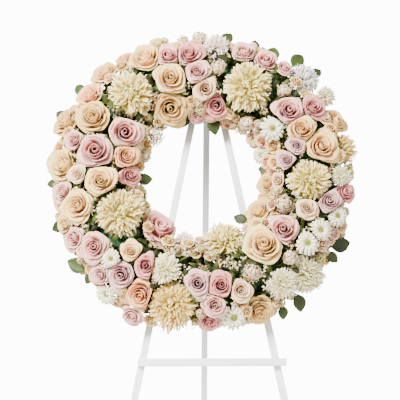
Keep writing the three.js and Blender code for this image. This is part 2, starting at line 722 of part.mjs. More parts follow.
/** All stems of one plant: one straight stem, or branches that meet above the foam. */
function stemsOf(heads, extra) {
  const radius = STEM_R[heads[0].kind] + extra;
  if (heads.length === 1) {
    return [mainStem(neckOf(heads[0]), heads[0].core, radius)];
  }
  const mean = point(0, 0, 0);
  for (const head of heads) mean.addScaledVector(head.middle, 1 / heads.length);
  const { core } = coreAt(mean);
  const direction = mean.clone().sub(core).normalize();
  const forkOut = FORK_OUT[heads[0].kind];
  const fork = core.clone().addScaledVector(direction, forkOut);
  const stems = [mainStem(fork.clone().addScaledVector(direction, FORK_OVER), core, radius)];
  for (const head of heads) {
    const down = head.middle.clone().sub(head.core).normalize();
    const bend = head.core.clone().addScaledVector(down, forkOut + FORK_BEND);
    const branch = new THREE.QuadraticBezierCurve3(neckOf(head), bend, fork);
    stems.push(tubeAlong(branch, radius * 0.9, 2));
  }
  return stems;
}

const RUNNER_R = 1.7;
const RUNNER_Z = 9;
const STALK_R = 1.3;
const RUNNER_STEP = 32;
const ANCHOR_DEEP = 14; // a runner's anchor goes this far into the foam's side
const ANCHOR_RISE = 24;
const ANCHOR_CLEAR = 0.5; // it starts this far off the runner's middle, clear of the tray's rim
const STALK_BACK = 0.08; // a stalk ends this far behind a leaf's middle, as a share of its length
const RIM_RUN = { outer: TRAY_OUT + 8, inner: TRAY_IN - 8 }; // radius of the runner on each rim

/** A runner's stem along its rim, its anchor into the foam's side and a stalk for each leaf. */
function runnerStems(rim, from, to, leaves, extra) {
  const radius = RIM_RUN[rim];
  const atAngle = (angle, r, z) => point(r * Math.cos(angle), r * Math.sin(angle), z);
  const steps = Math.ceil(((to - from) * RAD * radius) / RUNNER_STEP);
  const route = [];
  for (let i = 0; i <= steps; i += 1) {
    route.push(atAngle((from + ((to - from) * i) / steps) * RAD, radius, RUNNER_Z));
  }
  const stems = [tubeAlong(new THREE.CatmullRomCurve3(route), RUNNER_R + extra, steps)];
  const middle = ((from + to) / 2) * RAD;
  const side = Math.sign(radius - MEAN_R);
  const anchor = atAngle(middle, MEAN_R + side * (FOAM_HALF - ANCHOR_DEEP), RUNNER_Z + ANCHOR_RISE);
  const foot = atAngle(middle, radius + side * ANCHOR_CLEAR, RUNNER_Z + ANCHOR_CLEAR);
  stems.push(tubeAlong(new THREE.LineCurve3(foot, anchor), RUNNER_R + extra, 1));
  for (const leaf of leaves) {
    const angle = Math.atan2(leaf.middle.y, leaf.middle.x);
    const start = atAngle(angle, radius, RUNNER_Z);
    const back = -STALK_BACK * leaf.length;
    const base = leaf.middle.clone().addScaledVector(leafPointing(leaf), back);
    stems.push(tubeAlong(new THREE.LineCurve3(start, base), STALK_R + extra, 1));
  }
  return stems;
}

const plants = PLANTS.map(([name, kind]) => {
  const heads = blooms.filter((bloom) => bloom.name === name);
  const stems = joined(stemsOf(heads, 0).map(solidOf));
  const room = joined(stemsOf(heads, GAP).map(solidOf));
  return { name, kind, stems, room, heads: joined(heads.map(bloomSolid)) };
});
for (const [name, rim, from, to] of RUNNERS) {
  const leaves = blooms.filter((bloom) => bloom.name === name);
  const stems = joined(runnerStems(rim, from, to, leaves, 0).map(solidOf));
  const room = joined(runnerStems(rim, from, to, leaves, GAP).map(solidOf));
  plants.push({ name, kind: "leaf", stems, room, heads: joined(leaves.map(leafSolid)) });
}

const LOOKS = {
  mum: { color: 0xf1ead0, roughness: 0.7, metalness: 0 },
  rose: { color: 0xf0dcc0, roughness: 0.6, metalness: 0 },
  spray_rose: { color: 0xdba7a9, roughness: 0.6, metalness: 0 },
  button_mum: { color: 0xf4f2e6, roughness: 0.7, metalness: 0 },
  puff: { color: 0xefeade, roughness: 0.8, metalness: 0 },
  leaf: { color: 0x3c5530, roughness: 0.6, metalness: 0 },
};

const FOAM_LOOK = { color: 0x3f6b45, roughness: 0.9, metalness: 0 };

let foamSolid = foam(0);
const foamRoom = foam(GAP);
for (const plant of plants) {
  let heads = plant.heads.subtract(foamRoom);
  for (const other of plants) {
    if (other !== plant) heads = heads.subtract(other.room);
  }
  foamSolid = foamSolid.subtract(plant.room);
  addPiece(frontFrame, plant.name, geometryOf(heads.add(plant.stems)), LOOKS[plant.kind]);
}
addPiece(frontFrame, "foam_ring", geometryOf(foamSolid), FOAM_LOOK);

// the middle of the whole stands over the origin
wreath.updateMatrixWorld(true);
const reach = new THREE.Box3().setFromObject(wreath, true);
const under = reach.getCenter(point(0, 0, 0)).setZ(reach.min.z);
wreath.position.copy(under.negate());

export default wreath;
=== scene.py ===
"""Looks of a funeral wreath that hangs on a white wooden floor easel.

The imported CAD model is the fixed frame. Each plant's faceted solid is replaced by the same plant
with its petals, florets, leaves and stems, planted where the solid is and pressed by the same
neighbours. Lengths are metres in the meshes and millimetres in the planting plan.
"""

import json
import logging
import math
from dataclasses import dataclass, field
from enum import Enum
from typing import Callable, Iterator, Sequence

import bpy
import numpy as np
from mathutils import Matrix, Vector


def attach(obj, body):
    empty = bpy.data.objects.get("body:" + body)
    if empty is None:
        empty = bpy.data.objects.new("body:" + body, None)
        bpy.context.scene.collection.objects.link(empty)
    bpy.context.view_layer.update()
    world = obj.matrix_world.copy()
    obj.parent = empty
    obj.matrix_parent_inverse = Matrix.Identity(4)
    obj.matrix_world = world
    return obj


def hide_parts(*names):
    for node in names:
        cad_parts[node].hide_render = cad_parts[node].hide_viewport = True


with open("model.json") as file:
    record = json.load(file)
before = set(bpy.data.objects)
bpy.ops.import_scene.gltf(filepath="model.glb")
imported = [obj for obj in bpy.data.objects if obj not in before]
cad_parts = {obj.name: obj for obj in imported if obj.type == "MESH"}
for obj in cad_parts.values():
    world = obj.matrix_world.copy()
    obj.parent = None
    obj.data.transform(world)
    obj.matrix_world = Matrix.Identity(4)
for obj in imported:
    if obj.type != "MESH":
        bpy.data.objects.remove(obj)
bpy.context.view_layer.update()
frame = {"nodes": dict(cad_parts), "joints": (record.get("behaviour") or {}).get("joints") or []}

logging.basicConfig(level=logging.INFO, format="%(message)s")
LOG = logging.getLogger("wreath")

MM = 0.001
FULL_TURN = 6.28
GOLDEN = math.pi * (3 - math.sqrt(5))
LEAN = math.radians(12)  # the front frame leans back from the vertical
EASEL_SHIFT = 15.0  # the easel's middle lies this far to the side of the ring's
PIVOT = (0.0, 290.0, -44.3)  # hinge pin, from the easel's middle
MEAN_R = 247.0  # middle line of the foam ring
CORE_Z = 34.0  # its height in front of the tray's back
FOAM_HALF = 46.0  # half the foam's width
BOUQUET_HALF = 108.0  # how far blooms reach to either side of the core line
BOUQUET_DEEP = 104.0  # how far they reach in front of it
OUTLINE_LIFT = 10.0  # the ring's seen middle lies above its true one
FACE_FORWARD = 0.8  # how much less a bloom faces aside than it stands aside
FULLNESS = 1.09  # a bloom's true radius for its planned one
BLOOM_OUT = 1.13  # petals spread past the solid until their neighbours press on them
VIEW_TURN = 0.8  # how far a bloom at the side still turns its face to the front
STEM_END = 17.0  # stems end this far out of the core line
RIM_RUN = {"outer": 305.0, "inner": 189.0}  # radius that a leafy runner follows
RUNNER_Z = 9.0
RUNNER_R = 1.6
LEAF_ROOM = 0.26  # a leaf's room among the blooms, as a share of its length
STEM_SLOT = 1  # the material number of stems and sepals

GREEN = "5d7440"
STEM_GREEN = "4f6a35"
ODD_WAY = (0.31, 0.52, 0.79)  # a direction that nothing on the wreath lies along

Array = np.ndarray


def linear(code: str) -> tuple[float, float, float]:
    """Turns an sRGB hex colour into linear light.

    Args:
        code: Six hex digits, such as "f2e8d0".

    Returns:
        Red, green and blue from 0 to 1.
    """
    parts = [int(code[i : i + 2], 16) / 255 for i in (0, 2, 4)]
    return tuple(c / 12.92 if c <= 0.04045 else ((c + 0.055) / 1.055) ** 2.4 for c in parts)


def tone(code: str) -> Array:
    """Turns an sRGB hex colour into a row of linear light.

    Args:
        code: Six hex digits.

    Returns:
        Red, green and blue.
    """
    return np.array(linear(code))


def unit(way: Array) -> Array:
    """Scales a direction to a length of 1.

    Args:
        way: The direction.

    Returns:
        The same direction, 1 long.
    """
    return way / np.linalg.norm(way)


def turned_to(axis: Array, aside: Sequence[float]) -> Array:
    """Finds a turn that lays a shape's own Z along an axis.

    Args:
        axis: Unit direction.
        aside: Any other direction, which settles the turn about the axis.

    Returns:
        Rows X, Y and Z of the turn.
    """
    side = unit(np.cross(axis, aside))
    return np.array([side, np.cross(axis, side), axis])


def on_ball(theta: float, number: int) -> Array:
    """Finds a point of a golden spiral on a ball.

    Args:
        theta: Angle from the ball's pole, in radians.
        number: The point's number.

    Returns:
        The point, 1 from the ball's middle.
    """
    turn = number * GOLDEN
    aside = math.sin(theta)
    return np.array([aside * math.cos(turn), aside * math.sin(turn), math.cos(theta)])


# ---- the planting plan ---------------------------------------------------------------------------


class Kind(Enum):
    """What grows on a stem, with how far its front stands out as a share of its radius."""

    ROSE = 0.62
    SPRAY_ROSE = 0.68
    MUM = 0.76
    BUTTON_MUM = 0.46
    PUFF = 0.9
    LEAF = 1.0


STEM_R = {Kind.MUM: 2.6, Kind.ROSE: 2.6, Kind.SPRAY_ROSE: 2.0, Kind.BUTTON_MUM: 1.8, Kind.PUFF: 1.5}
FORK_OUT = {Kind.MUM: 57, Kind.ROSE: 57, Kind.SPRAY_ROSE: 52, Kind.PUFF: 51, Kind.BUTTON_MUM: 47}


@dataclass(frozen=True)
class Tint:
    """Colours of a bloom from its heart to its rim, and its painted shade, as sRGB hex."""

    heart: str
    middle: str
    rim: str
    shade: str  # painted shade, deep between the petals at their feet

    @property
    def lit(self) -> list[Array]:
        """The four colours in linear light, in the same order."""
        return [tone(code) for code in (self.heart, self.middle, self.rim, self.shade)]


TINTS = {
    "cream": Tint("c08020", "dcab58", "ffde94", "6c4a14"),
    "warm": Tint("bc7a1c", "dea652", "ffd88c", "6a4a12"),
    "peach": Tint("c06a26", "d88a50", "fcc486", "6f3a12"),
    "beige": Tint("a47a2c", "c2924e", "f0c674", "5c461a"),
    "pale": Tint("b49638", "d0ac60", "fad688", "6c5c22"),
    "lime": Tint("a8a038", "c8b264", "f4dc92", "625e20"),
    "blush": Tint("a04e38", "cc8460", "f6be8c", "5e2c1c"),
    "pink": Tint("7c1c2a", "b54e54", "ffc6b0", "440e18"),
    "deep": Tint("6c1622", "9c363e", "f0a294", "3e0a12"),
    "soft": Tint("9a4248", "c77976", "fbcab4", "582028"),
    "mauve": Tint("844a54", "b17276", "eabcb0", "4a2830"),
    "ivory": Tint("b08054", "d4a274", "fcd8a8", "6a4628"),
    "mum": Tint("c8c636", "dfc268", "ffedb2", "66601a"),
    "mum_white": Tint("dcd87e", "ecdca8", "fff6d8", "746e28"),
    "mum_yellow": Tint("dcc842", "e2bc5c", "ffe8a4", "6c5e14"),
    "mum_lilac": Tint("dcd8b8", "ece2de", "fffcf8", "8a8078"),
    "mum_rosy": Tint("dcc8a0", "eedaca", "fff6ee", "7c6a54"),
    "daisy": Tint("9ea018", "e6dcb6", "f9eccc", "8a8650"),
    "gyp": Tint("84783c", "e2c294", "fde6bc", "5e5230"),
}

# Each family of plants: what grows on it, and the blooms of each plant, in order. A bloom is
# (right, up, radius, out, tint): millimetres from the middle of the ring as it is seen from the
# front, the bloom's radius, how far it stands out, and its colours.
PLANTS = {
    "football_mum": (
        Kind.MUM,
        [
            [(-165, 195, 57, 0, "mum")],
            [(105, 215, 62, 7, "mum")],
            [(-195, -80, 58, 6, "mum")],
            [(245, -5, 53, 0, "mum")],
            [(230, -218, 48, 0, "mum_white"), (176, -236, 34, 0, "mum_white")],
            [(-70, -281, 59, 16, "mum_yellow")],
            [(55, -152, 51, 0, "mum")],
            [(322, 70, 40, 0, "mum_yellow"), (318, 5, 27, 0, "mum_white")],
            [(240, 235, 43, 0, "mum_lilac"), (290, 196, 27, 0, "mum_white")],
            [(-88, -208, 36, 0, "mum_white"), (-46, -150, 27, 0, "mum_rosy")],
            [(33, 312, 32, 0, "mum_rosy")],
        ],
    ),
    "cream_rose": (
        Kind.ROSE,
        [
            [(-75, 235, 36, 0, "cream")],
            [(-133, 282, 36, 0, "warm"), (-104, 324, 20, 0, "lime"), (-184, 284, 20, 0, "blush")],
            [(-253, 140, 38, 0, "beige"), (-262, 194, 27, 0, "peach")],
            [(-235, -5, 34, 0, "cream"), (-180, 54, 26, 0, "peach")],
            [(-285, -62, 37, 0, "cream"), (-316, -104, 20, 0, "pale")],
            [(228, 115, 32, 0, "warm"), (310, 136, 31, 0, "warm")],
            [(272, 74, 37, 0, "warm")],
            [(138, -152, 43, 0, "cream")],
            [(136, -80, 32, 0, "beige"), (154, -12, 23, 0, "beige")],
            [(-140, -260, 34, 0, "peach"), (-164, -164, 20, 0, "warm")],
            [(125, -297, 28, 0, "beige")],
            [(-318, 30, 41, 0, "pale")],
            [(-78, 170, 39, 0, "beige")],
            [(-225, 248, 32, 0, "beige"), (-316, 134, 33, 0, "beige")],
        ],
    ),
    "pink_spray_rose": (
        Kind.SPRAY_ROSE,
        [
            [(-80, 288, 26, 0, "pink"), (-32, 290, 28, 0, "deep"), (-14, 250, 26, 0, "soft")],
            [(32, 177, 28, 0, "deep"), (-12, 154, 16, 0, "pink"), (6, 212, 24, 0, "ivory")],
            [(99, 298, 28, 0, "soft"), (148, 276, 28, 0, "pink"), (192, 262, 17, 0, "pink")],
            [
                (200, 158, 34, 0, "pink"), (256, 165, 26, 0, "deep"), (216, 78, 20, 0, "mauve"),
                (193, 44, 19, 0, "mauve"),
            ],
            [(-248, 64, 38, 0, "pink"), (-182, 108, 34, 0, "pink"), (-170, 8, 22, 0, "deep")],
            [(-322, -30, 22, 0, "soft"), (-287, 10, 17, 0, "ivory"), (-296, 88, 20, 0, "pink")],
            [(-244, -154, 30, 0, "pink"), (-294, -136, 24, 0, "soft")],
            [(-106, -122, 41, 0, "pink"), (-130, -196, 26, 0, "deep")],
            [
                (-185, -216, 30, 0, "mauve"), (-231, -218, 22, 0, "soft"),
                (-160, -310, 22, 0, "soft"),
            ],
            [
                (-14, -236, 26, 0, "mauve"), (38, -240, 26, 0, "deep"), (24, -282, 22, 0, "pink"),
                (12, -322, 20, 0, "deep"), (82, -250, 21, 0, "ivory"),
            ],
            [
                (182, -117, 34, 0, "pink"), (236, -68, 22, 0, "ivory"), (287, -50, 27, 0, "mauve"),
                (326, -30, 24, 0, "deep"),
            ],
        ],
    ),
    "button_mum": (
        Kind.BUTTON_MUM,
        [
            [(235, -145, 25, 0, "daisy"), (266, -116, 23, 0, "daisy"), (308, -84, 22, 0, "daisy")],
            [(163, 118, 26, 0, "daisy"), (140, 58, 20, 0, "daisy")],
            [(-208, -180, 20, 0, "daisy"), (-220, -262, 24, 0, "daisy")],
            [(69, -313, 27, 0, "daisy")],
        ],
    ),
    "babys_breath": (
        Kind.PUFF,
        [
            [(-45, 330, 18, -6, "gyp"), (-6, 338, 20, 0, "gyp"), (38, 262, 18, -6, "gyp")],
            [(-118, 105, 27, 0, "gyp"), (-138, 58, 18, 0, "gyp")],
            [(108, 134, 22, 0, "gyp"), (190, 206, 15, -8, "gyp")],
            [(188, -58, 22, -4, "gyp"), (196, -178, 16, -8, "gyp"), (108, -212, 22, -6, "gyp")],
        ],
    ),
}

# A runner has a name, a rim, the two angles between which it lies, and leaves of (right, up,
# length, pointing, out), in millimetres and degrees.
RUNNERS = [
    (
        "leaf_runner_left",
        "outer",
        (140, 222),
        [
            (-292, 216, 38, 125, -14), (-334, 152, 40, 140, -14), (-352, -10, 30, 180, -14),
            (-334, -110, 42, 200, -14), (-292, -198, 52, 158, -14), (-262, -228, 34, 235, -14),
        ],
    ),
    (
        "leaf_runner_top",
        "outer",
        (40, 80),
        [
            (62, 344, 42, 60, -14), (128, 326, 36, 80, -14), (172, 306, 46, 72, -12),
            (232, 290, 48, 52, -12), (276, 258, 36, 40, -14),
        ],
    ),
    (
        "leaf_runner_bottom",
        "outer",
        (-60, -24),
        [
            (322, -152, 52, 12, -10), (302, -182, 36, -35, -14), (222, -286, 44, -75, -12),
            (184, -308, 34, -85, -14),
        ],
    ),
    (
        "leaf_runner_inner",
        "inner",
        (-48, 196),
        [
            (87, -92, 36, 150, -10), (148, 24, 38, 172, -10), (124, 92, 28, 200, -10),
            (28, 126, 42, -80, -10), (-42, 138, 32, -110, -10), (-135, 0, 40, 10, -10),
            (-144, -38, 28, -60, -10),
        ],
    ),
]


def named_plants() -> Iterator[tuple[str, Kind, list]]:
    """Goes through the plan plant by plant.

    Yields:
        The plant's node, what grows on it, and its blooms.
    """
    for family, (kind, plants) in PLANTS.items():
        for number, places in enumerate(plants, 1):
            yield f"{family}_{number:02d}", kind, places


@dataclass
class Head:
    """One bloom or leaf of the plan, in the ring's frame: x right, y up, z to the viewer."""

    node: str
    kind: Kind
    radius: float
    middle: Array
    axis: Array
    core: Array
    tint: str = ""
    length: float = 0.0
    pointing: float = 0.0
    walls: list[tuple[Array, float]] = field(default_factory=list)

    @property
    def neck(self) -> Array:
        """Where the stem ends inside the bloom."""
        return self.middle - 0.2 * self.radius * self.axis

    @property
    def spread(self) -> float:
        """How far the bloom's petals reach where nothing presses on them."""
        return BLOOM_OUT * self.radius

    def basis(self, roll: float = 0.0) -> Array:
        """Rows of a turn that lays a bloom's own Z along its axis.

        Args:
            roll: Turn about the axis, in radians.

        Returns:
            A 3 by 3 matrix whose rows are the bloom's X, Y and Z in the ring's frame.
        """
        axis = unit(self.axis + [0.0, 0.0, VIEW_TURN])
        side = unit(np.cross([0.0, 1.0, 0.0], axis))
        up = np.cross(axis, side)
        turned = math.cos(roll) * side + math.sin(roll) * up
        return np.array([turned, np.cross(axis, turned), axis])


class Ring:
    """The ring's frame and every head planted in it."""

    STEPS = 8  # rounds in which a bloom's height and its depth settle
    EDGE = 0.97  # the furthest aside that a bloom's middle may stand, as a share
    LEAST_FRONT = 6.0  # mm that every bloom faces forward by
    NEAR = 1.1  # heads press on each other within this share of their radii

    def __init__(self) -> None:
        """Places the frame from the hinge's position in the record, and seats every head."""
        pin = np.array(frame["joints"][0]["pos_m"]) / MM
        self.right = np.array([1.0, 0.0, 0.0])
        self.up = np.array([0.0, math.sin(LEAN), math.cos(LEAN)])
        self.out = np.array([0.0, -math.cos(LEAN), math.sin(LEAN)])
        local = np.array(PIVOT) + [EASEL_SHIFT, 0.0, 0.0]
        self.origin = pin - local @ np.array([self.right, self.up, self.out])
        self.heads: list[Head] = []
        for node, kind, places in named_plants():
            for right, up, size, out, tint in places:
                radius = FULLNESS * size
                seat = self.seat(right, up, kind.value * radius, out)
                self.heads.append(Head(node, kind, radius, *seat, tint=tint))
        for node, _, _, leaves in RUNNERS:
            for right, up, length, pointing, out in leaves:
                radius = LEAF_ROOM * length
                seat = self.seat(right, up, radius, out)
                head = Head(node, Kind.LEAF, radius, *seat, length=length, pointing=pointing)
                self.heads.append(head)
        for head in self.heads:
            self.wall(head)

    @staticmethod
    def core_at(place: Array) -> tuple[Array, Array]:
        """Finds the foam's core line next to a place.

        Args:
            place: A point in the ring's frame.

        Returns:
            The unit direction out of the ring's middle, and the core line's nearest point.
        """
        outward = np.array([place[0], place[1], 0.0]) / math.hypot(place[0], place[1])
        return outward, outward * MEAN_R + [0.0, 0.0, CORE_Z]

    def seat(
        self, right: float, up: float, front: float, out: float
    ) -> tuple[Array, Array, Array]:
        """Finds the middle and axis of a bloom from where it is seen.

        Args:
            right: Millimetres right of the ring's seen middle.
            up: Millimetres above it.
            front: How far the bloom reaches in front of its own middle.
            out: How far it stands out of its neighbours' level.

        Returns:
            The middle, the unit axis it faces along, and the core line's point behind it.
        """
        middle = np.array([right, up, CORE_Z], float)
        for _ in range(self.STEPS):
            middle[1] = (up + OUTLINE_LIFT - middle[2] * math.sin(LEAN)) / math.cos(LEAN)
            aside = math.hypot(middle[0], middle[1]) - MEAN_R
            share = min(self.EDGE, abs(aside) / (BOUQUET_HALF - front))
            middle[2] = CORE_Z + (BOUQUET_DEEP - front) * math.sqrt(1 - share * share) + out
        outward, core = self.core_at(middle)
        axis = outward * FACE_FORWARD * (math.hypot(middle[0], middle[1]) - MEAN_R)
        axis[2] = max(self.LEAST_FRONT, middle[2] - CORE_Z)
        return middle, unit(axis), core

    def wall(self, head: Head) -> None:
        """Notes the planes that a head's neighbours press it with.

        Args:
            head: The head to wall in.
        """
        for other in self.heads:
            if other is head:
                continue
            apart = other.middle - head.middle
            distance = float(np.linalg.norm(apart))
            if distance > self.NEAR * (head.radius + other.radius):
                continue
            share = (distance**2 + head.radius**2 - other.radius**2) / (2 * distance)
            head.walls.append((apart / distance, max(share, 0.2 * head.radius)))

    def world(self, points: Array) -> Array:
        """Turns points of the ring's frame into the row frame.

        Args:
            points: Millimetres in the ring's frame, one point a row.

        Returns:
            Metres in the row frame.
        """
        return (self.origin + points @ np.array([self.right, self.up, self.out])) * MM


GIVE = 0.42  # how far before a plane petals start to yield, as a share of its distance
PAST = 1.08  # petals end this share of that stretch away, a little past the plane


def pressed(points: Array, walls: Sequence[tuple[Array, float]]) -> Array:
    """Crowds a bloom's points towards its middle where neighbours press on it.

    Args:
        points: Places from the bloom's own middle.
        walls: Unit directions to neighbours, with the distance to the plane between.

    Returns:
        The places, none of them more than a little past a plane.
    """
    factor = np.ones(len(points))
    for direction, reach in walls:
        share = points @ direction / reach
        start = 1 - GIVE
        over = share > start
        squeezed = start + PAST * GIVE * (1 - np.exp(-(share[over] - start) / (PAST * GIVE)))
        factor[over] = np.minimum(factor[over], squeezed / share[over])
    return points * factor[:, None]


# ---- mesh building -------------------------------------------------------------------------------


@dataclass
class Blank:
    """A thin closed sheet, as parameters: across from -1 to 1, along from 0 to 1, and its side."""

    across: Array
    along: Array
    side: Array
    faces: list[tuple[int, ...]]


@dataclass
class Build:
    """Meshes gathered for one piece: places, faces, colours and sheet coordinates."""

    places: list[Array] = field(default_factory=list)
    faces: list[tuple[int, ...]] = field(default_factory=list)
    colours: list[Array] = field(default_factory=list)
    sheets: list[Array] = field(default_factory=list)
    slots: list[int] = field(default_factory=list)
    count: int = 0

    def add(
        self, places: Array, faces: Sequence, colours: Array, sheets: Array, slot: int = 0
    ) -> None:
        """Adds one closed shape.

        Args:
            places: Millimetres in the ring's frame.
            faces: Corner numbers of each face, counted within this shape.
            colours: A linear colour for each place.
            sheets: Across, along and a random share, for each place.
            slot: The material's number on the piece.
        """
        self.places.append(places)
        self.faces.extend(tuple(i + self.count for i in face) for face in faces)
        self.colours.append(colours)
        self.sheets.append(sheets)
        self.slots.extend([slot] * len(faces))
        self.count += len(places)

    def piece(
        self, name: str, ring: Ring, materials: Sequence[bpy.types.Material]
    ) -> bpy.types.Object:
        """Makes the Blender object.

        Args:
            name: The piece's name.
            ring: The frame that the places are given in.
            materials: The piece's materials, by slot number.

        Returns:
            The object, at the origin, with its places in its mesh.
        """
        mesh = bpy.data.meshes.new(name)
        mesh.from_pydata(ring.world(np.concatenate(self.places)).tolist(), [], self.faces)
        tint = mesh.color_attributes.new("tint", "FLOAT_COLOR", "POINT")
        colours = np.concatenate(self.colours)
        full = np.concatenate([colours, np.ones((len(colours), 1))], axis=1)
        tint.data.foreach_set("color", full.astype(np.float32).ravel())
        sheet = mesh.attributes.new("sheet", "FLOAT_VECTOR", "POINT")
        sheet.data.foreach_set("vector", np.concatenate(self.sheets).astype(np.float32).ravel())
        for material in materials:
            mesh.materials.append(material)
        mesh.polygons.foreach_set("material_index", self.slots)
        mesh.polygons.foreach_set("use_smooth", [True] * len(mesh.polygons))
        mesh.update()
        made = bpy.data.objects.new(name, mesh)
        bpy.context.scene.collection.objects.link(made)
        return made


def read_away(made: bpy.types.Object) -> tuple[Array, list[tuple[int, ...]]]:
    """Reads a modelled shape and removes it.

    Args:
        made: The shape.

    Returns:
        Its corners and its faces.
    """
    mesh = made.data
    corners = np.array([v.co for v in mesh.vertices])
    faces = [tuple(p.vertices) for p in mesh.polygons]
    bpy.data.objects.remove(made)
    bpy.data.meshes.remove(mesh)
    return corners, faces


def make_blank(columns: int, rows: int) -> Blank:
    """Models a flat closed sheet with operators and reads its parameters.

    Args:
        columns: Faces across it.
        rows: Faces along it.

    Returns:
        The sheet as parameters.
    """
    bpy.ops.object.select_all(action="DESELECT")
    bpy.ops.mesh.primitive_grid_add(x_subdivisions=columns, y_subdivisions=rows, size=2)
    sheet = bpy.context.object
    thick = sheet.modifiers.new("thick", "SOLIDIFY")
    thick.thickness = 2.0
    thick.offset = 0.0
    bpy.ops.object.modifier_apply(modifier=thick.name)
    corners, faces = read_away(sheet)
    return Blank(corners[:, 0], (corners[:, 1] + 1) / 2, np.sign(corners[:, 2]), faces)


Surface = Callable[[Array, Array], Array]


def about(azimuth: Array | float, r: Array, aside: Array, z: Array) -> Array:
    """Places points of a strap that stands out from a bloom's own Z axis.

    Args:
        azimuth: Where the strap's middle line points, in radians.
        r: How far along that line each point stands.
        aside: How far to its side.
        z: How high.

    Returns:
        A place for each point.
    """
    x = r * np.cos(azimuth) - aside * np.sin(azimuth)
    y = r * np.sin(azimuth) + aside * np.cos(azimuth)
    return np.stack([x, y, z], axis=1)


def sheet_at(across: Array, along: Array, share: float) -> Array:
    """Gives sheet coordinates, which the fine patterns follow.

    Args:
        across: Across each point's sheet.
        along: Along it.
        share: A number of the sheet's own, so that no two look alike.

    Returns:
        Three coordinates a point.
    """
    return np.stack([across, along, np.full(len(along), share)], axis=1)


SLOPE_STEP = 0.02  # how far apart a surface is read to find which way it faces
TIP_THINNING = 0.6  # share of its thickness that a sheet loses at its tip


def thickened(blank: Blank, surface: Surface, thickness: float) -> Array:
    """Lays a blank on a surface.

    Args:
        blank: The closed sheet.
        surface: Gives a place for each pair of across and along.
        thickness: Of the sheet, in millimetres.

    Returns:
        A place for each corner of the blank.
    """
    here = surface(blank.across, blank.along)
    u, v = blank.across, blank.along
    aside = surface(u + SLOPE_STEP, v) - surface(u - SLOPE_STEP, v)
    ahead = surface(u, v + SLOPE_STEP) - surface(u, v - SLOPE_STEP)
    normal = np.cross(aside, ahead)
    size = np.linalg.norm(normal, axis=1, keepdims=True)
    normal = normal / np.maximum(size, 1e-9)
    taper = 1 - TIP_THINNING * v**4
    return here + normal * (blank.side * thickness / 2 * taper)[:, None]


def bezier(points: Sequence[tuple[float, float]], t: Array) -> Array:
    """Follows a cubic curve in a plane.

    Args:
        points: Its four points.
        t: From 0 to 1.

    Returns:
        Two coordinates for each value of t.
    """
    a, b, c, d = (np.array(p) for p in points)
    s = 1 - t
    parts = (s**3, 3 * s * s * t, 3 * s * t * t, t**3)
    return sum(w[:, None] * p for w, p in zip(parts, (a, b, c, d)))


def bow_line(start: Array, bend: Array, end: Array, count: int) -> Array:
    """Follows a line bent once.

    Args:
        start: Where it starts.
        bend: What it bends towards.
        end: Where it ends.
        count: How many points to give.

    Returns:
        Points along it.
    """
    t = np.linspace(0, 1, count)[:, None]
    return (1 - t) ** 2 * start + 2 * t * (1 - t) * bend + t * t * end


def blended(stops: Sequence[tuple[float, Array]], t: Array) -> Array:
    """Mixes colours along stops.

    Args:
        stops: Position and linear colour, in order.
        t: Where to read it.

    Returns:
        A colour for each value of t.
    """
    at = [s for s, _ in stops]
    return np.stack([np.interp(t, at, [c[k] for _, c in stops]) for k in range(3)], axis=1)


def tube(
    build: Build, path: Array, radius: Sequence[float], sides: int = 6, code: str = STEM_GREEN
) -> None:
    """Adds a closed round stem along a path.

    Args:
        build: The piece it goes to.
        path: Points along it, in millimetres.
        radius: Its radius at each point.
        sides: Faces around it.
        code: Its colour, as sRGB hex.
    """
    ahead = np.gradient(path, axis=0)
    ahead /= np.linalg.norm(ahead, axis=1, keepdims=True)
    side = np.cross(ahead, ODD_WAY)
    side /= np.linalg.norm(side, axis=1, keepdims=True)
    other = np.cross(ahead, side)
    turn = np.arange(sides) / sides * 2 * math.pi
    cosine, sine = np.cos(turn)[None, :, None], np.sin(turn)[None, :, None]
    around = cosine * side[:, None] + sine * other[:, None]
    rings = path[:, None] + np.asarray(radius)[:, None, None] * around
    places = rings.reshape(-1, 3)
    faces: list[tuple[int, ...]] = []
    for row in range(len(path) - 1):
        for i in range(sides):
            j = (i + 1) % sides
            a, b = row * sides, (row + 1) * sides
            faces.append((a + i, a + j, b + j, b + i))
    faces.append(tuple(range(sides - 1, -1, -1)))
    faces.append(tuple((len(path) - 1) * sides + i for i in range(sides)))
    along = np.repeat(np.linspace(0, 1, len(path)), sides)
    sheets = sheet_at(np.tile(np.cos(turn), len(path)), along, 0.5)
    build.add(places, faces, np.tile(tone(code), (len(places), 1)), sheets, STEM_SLOT)


# ---- what grows ----------------------------------------------------------------------------------


@dataclass(frozen=True)
class RosePetals:
    """One whorl of rose petals, as shares of the bloom's radius and radians."""

    count: int
    reach: float
    height: float
    half: float
    roll: float
    depth: float
    open: float


ROSE_WHORLS = (
    RosePetals(3, 0.09, 0.60, 1.75, 0.00, 0.00, 0.0),
    RosePetals(3, 0.18, 0.64, 1.40, 0.02, 0.12, 0.0),
    RosePetals(4, 0.30, 0.64, 1.10, 0.04, 0.30, 0.1),
    RosePetals(4, 0.47, 0.60, 1.00, 0.08, 0.60, 0.4),
    RosePetals(5, 0.68, 0.50, 0.86, 0.12, 0.90, 0.7),
    RosePetals(5, 0.90, 0.32, 0.84, 0.15, 1.00, 1.0),
)
SPRAY_WHORLS = (
    RosePetals(3, 0.12, 0.62, 1.75, 0.00, 0.00, 0.0),
    RosePetals(3, 0.25, 0.66, 1.35, 0.03, 0.15, 0.0),
    RosePetals(4, 0.42, 0.64, 1.05, 0.07, 0.50, 0.3),
    RosePetals(5, 0.66, 0.52, 0.88, 0.12, 0.90, 0.7),
    RosePetals(5, 0.90, 0.32, 0.86, 0.16, 1.00, 1.0),
)
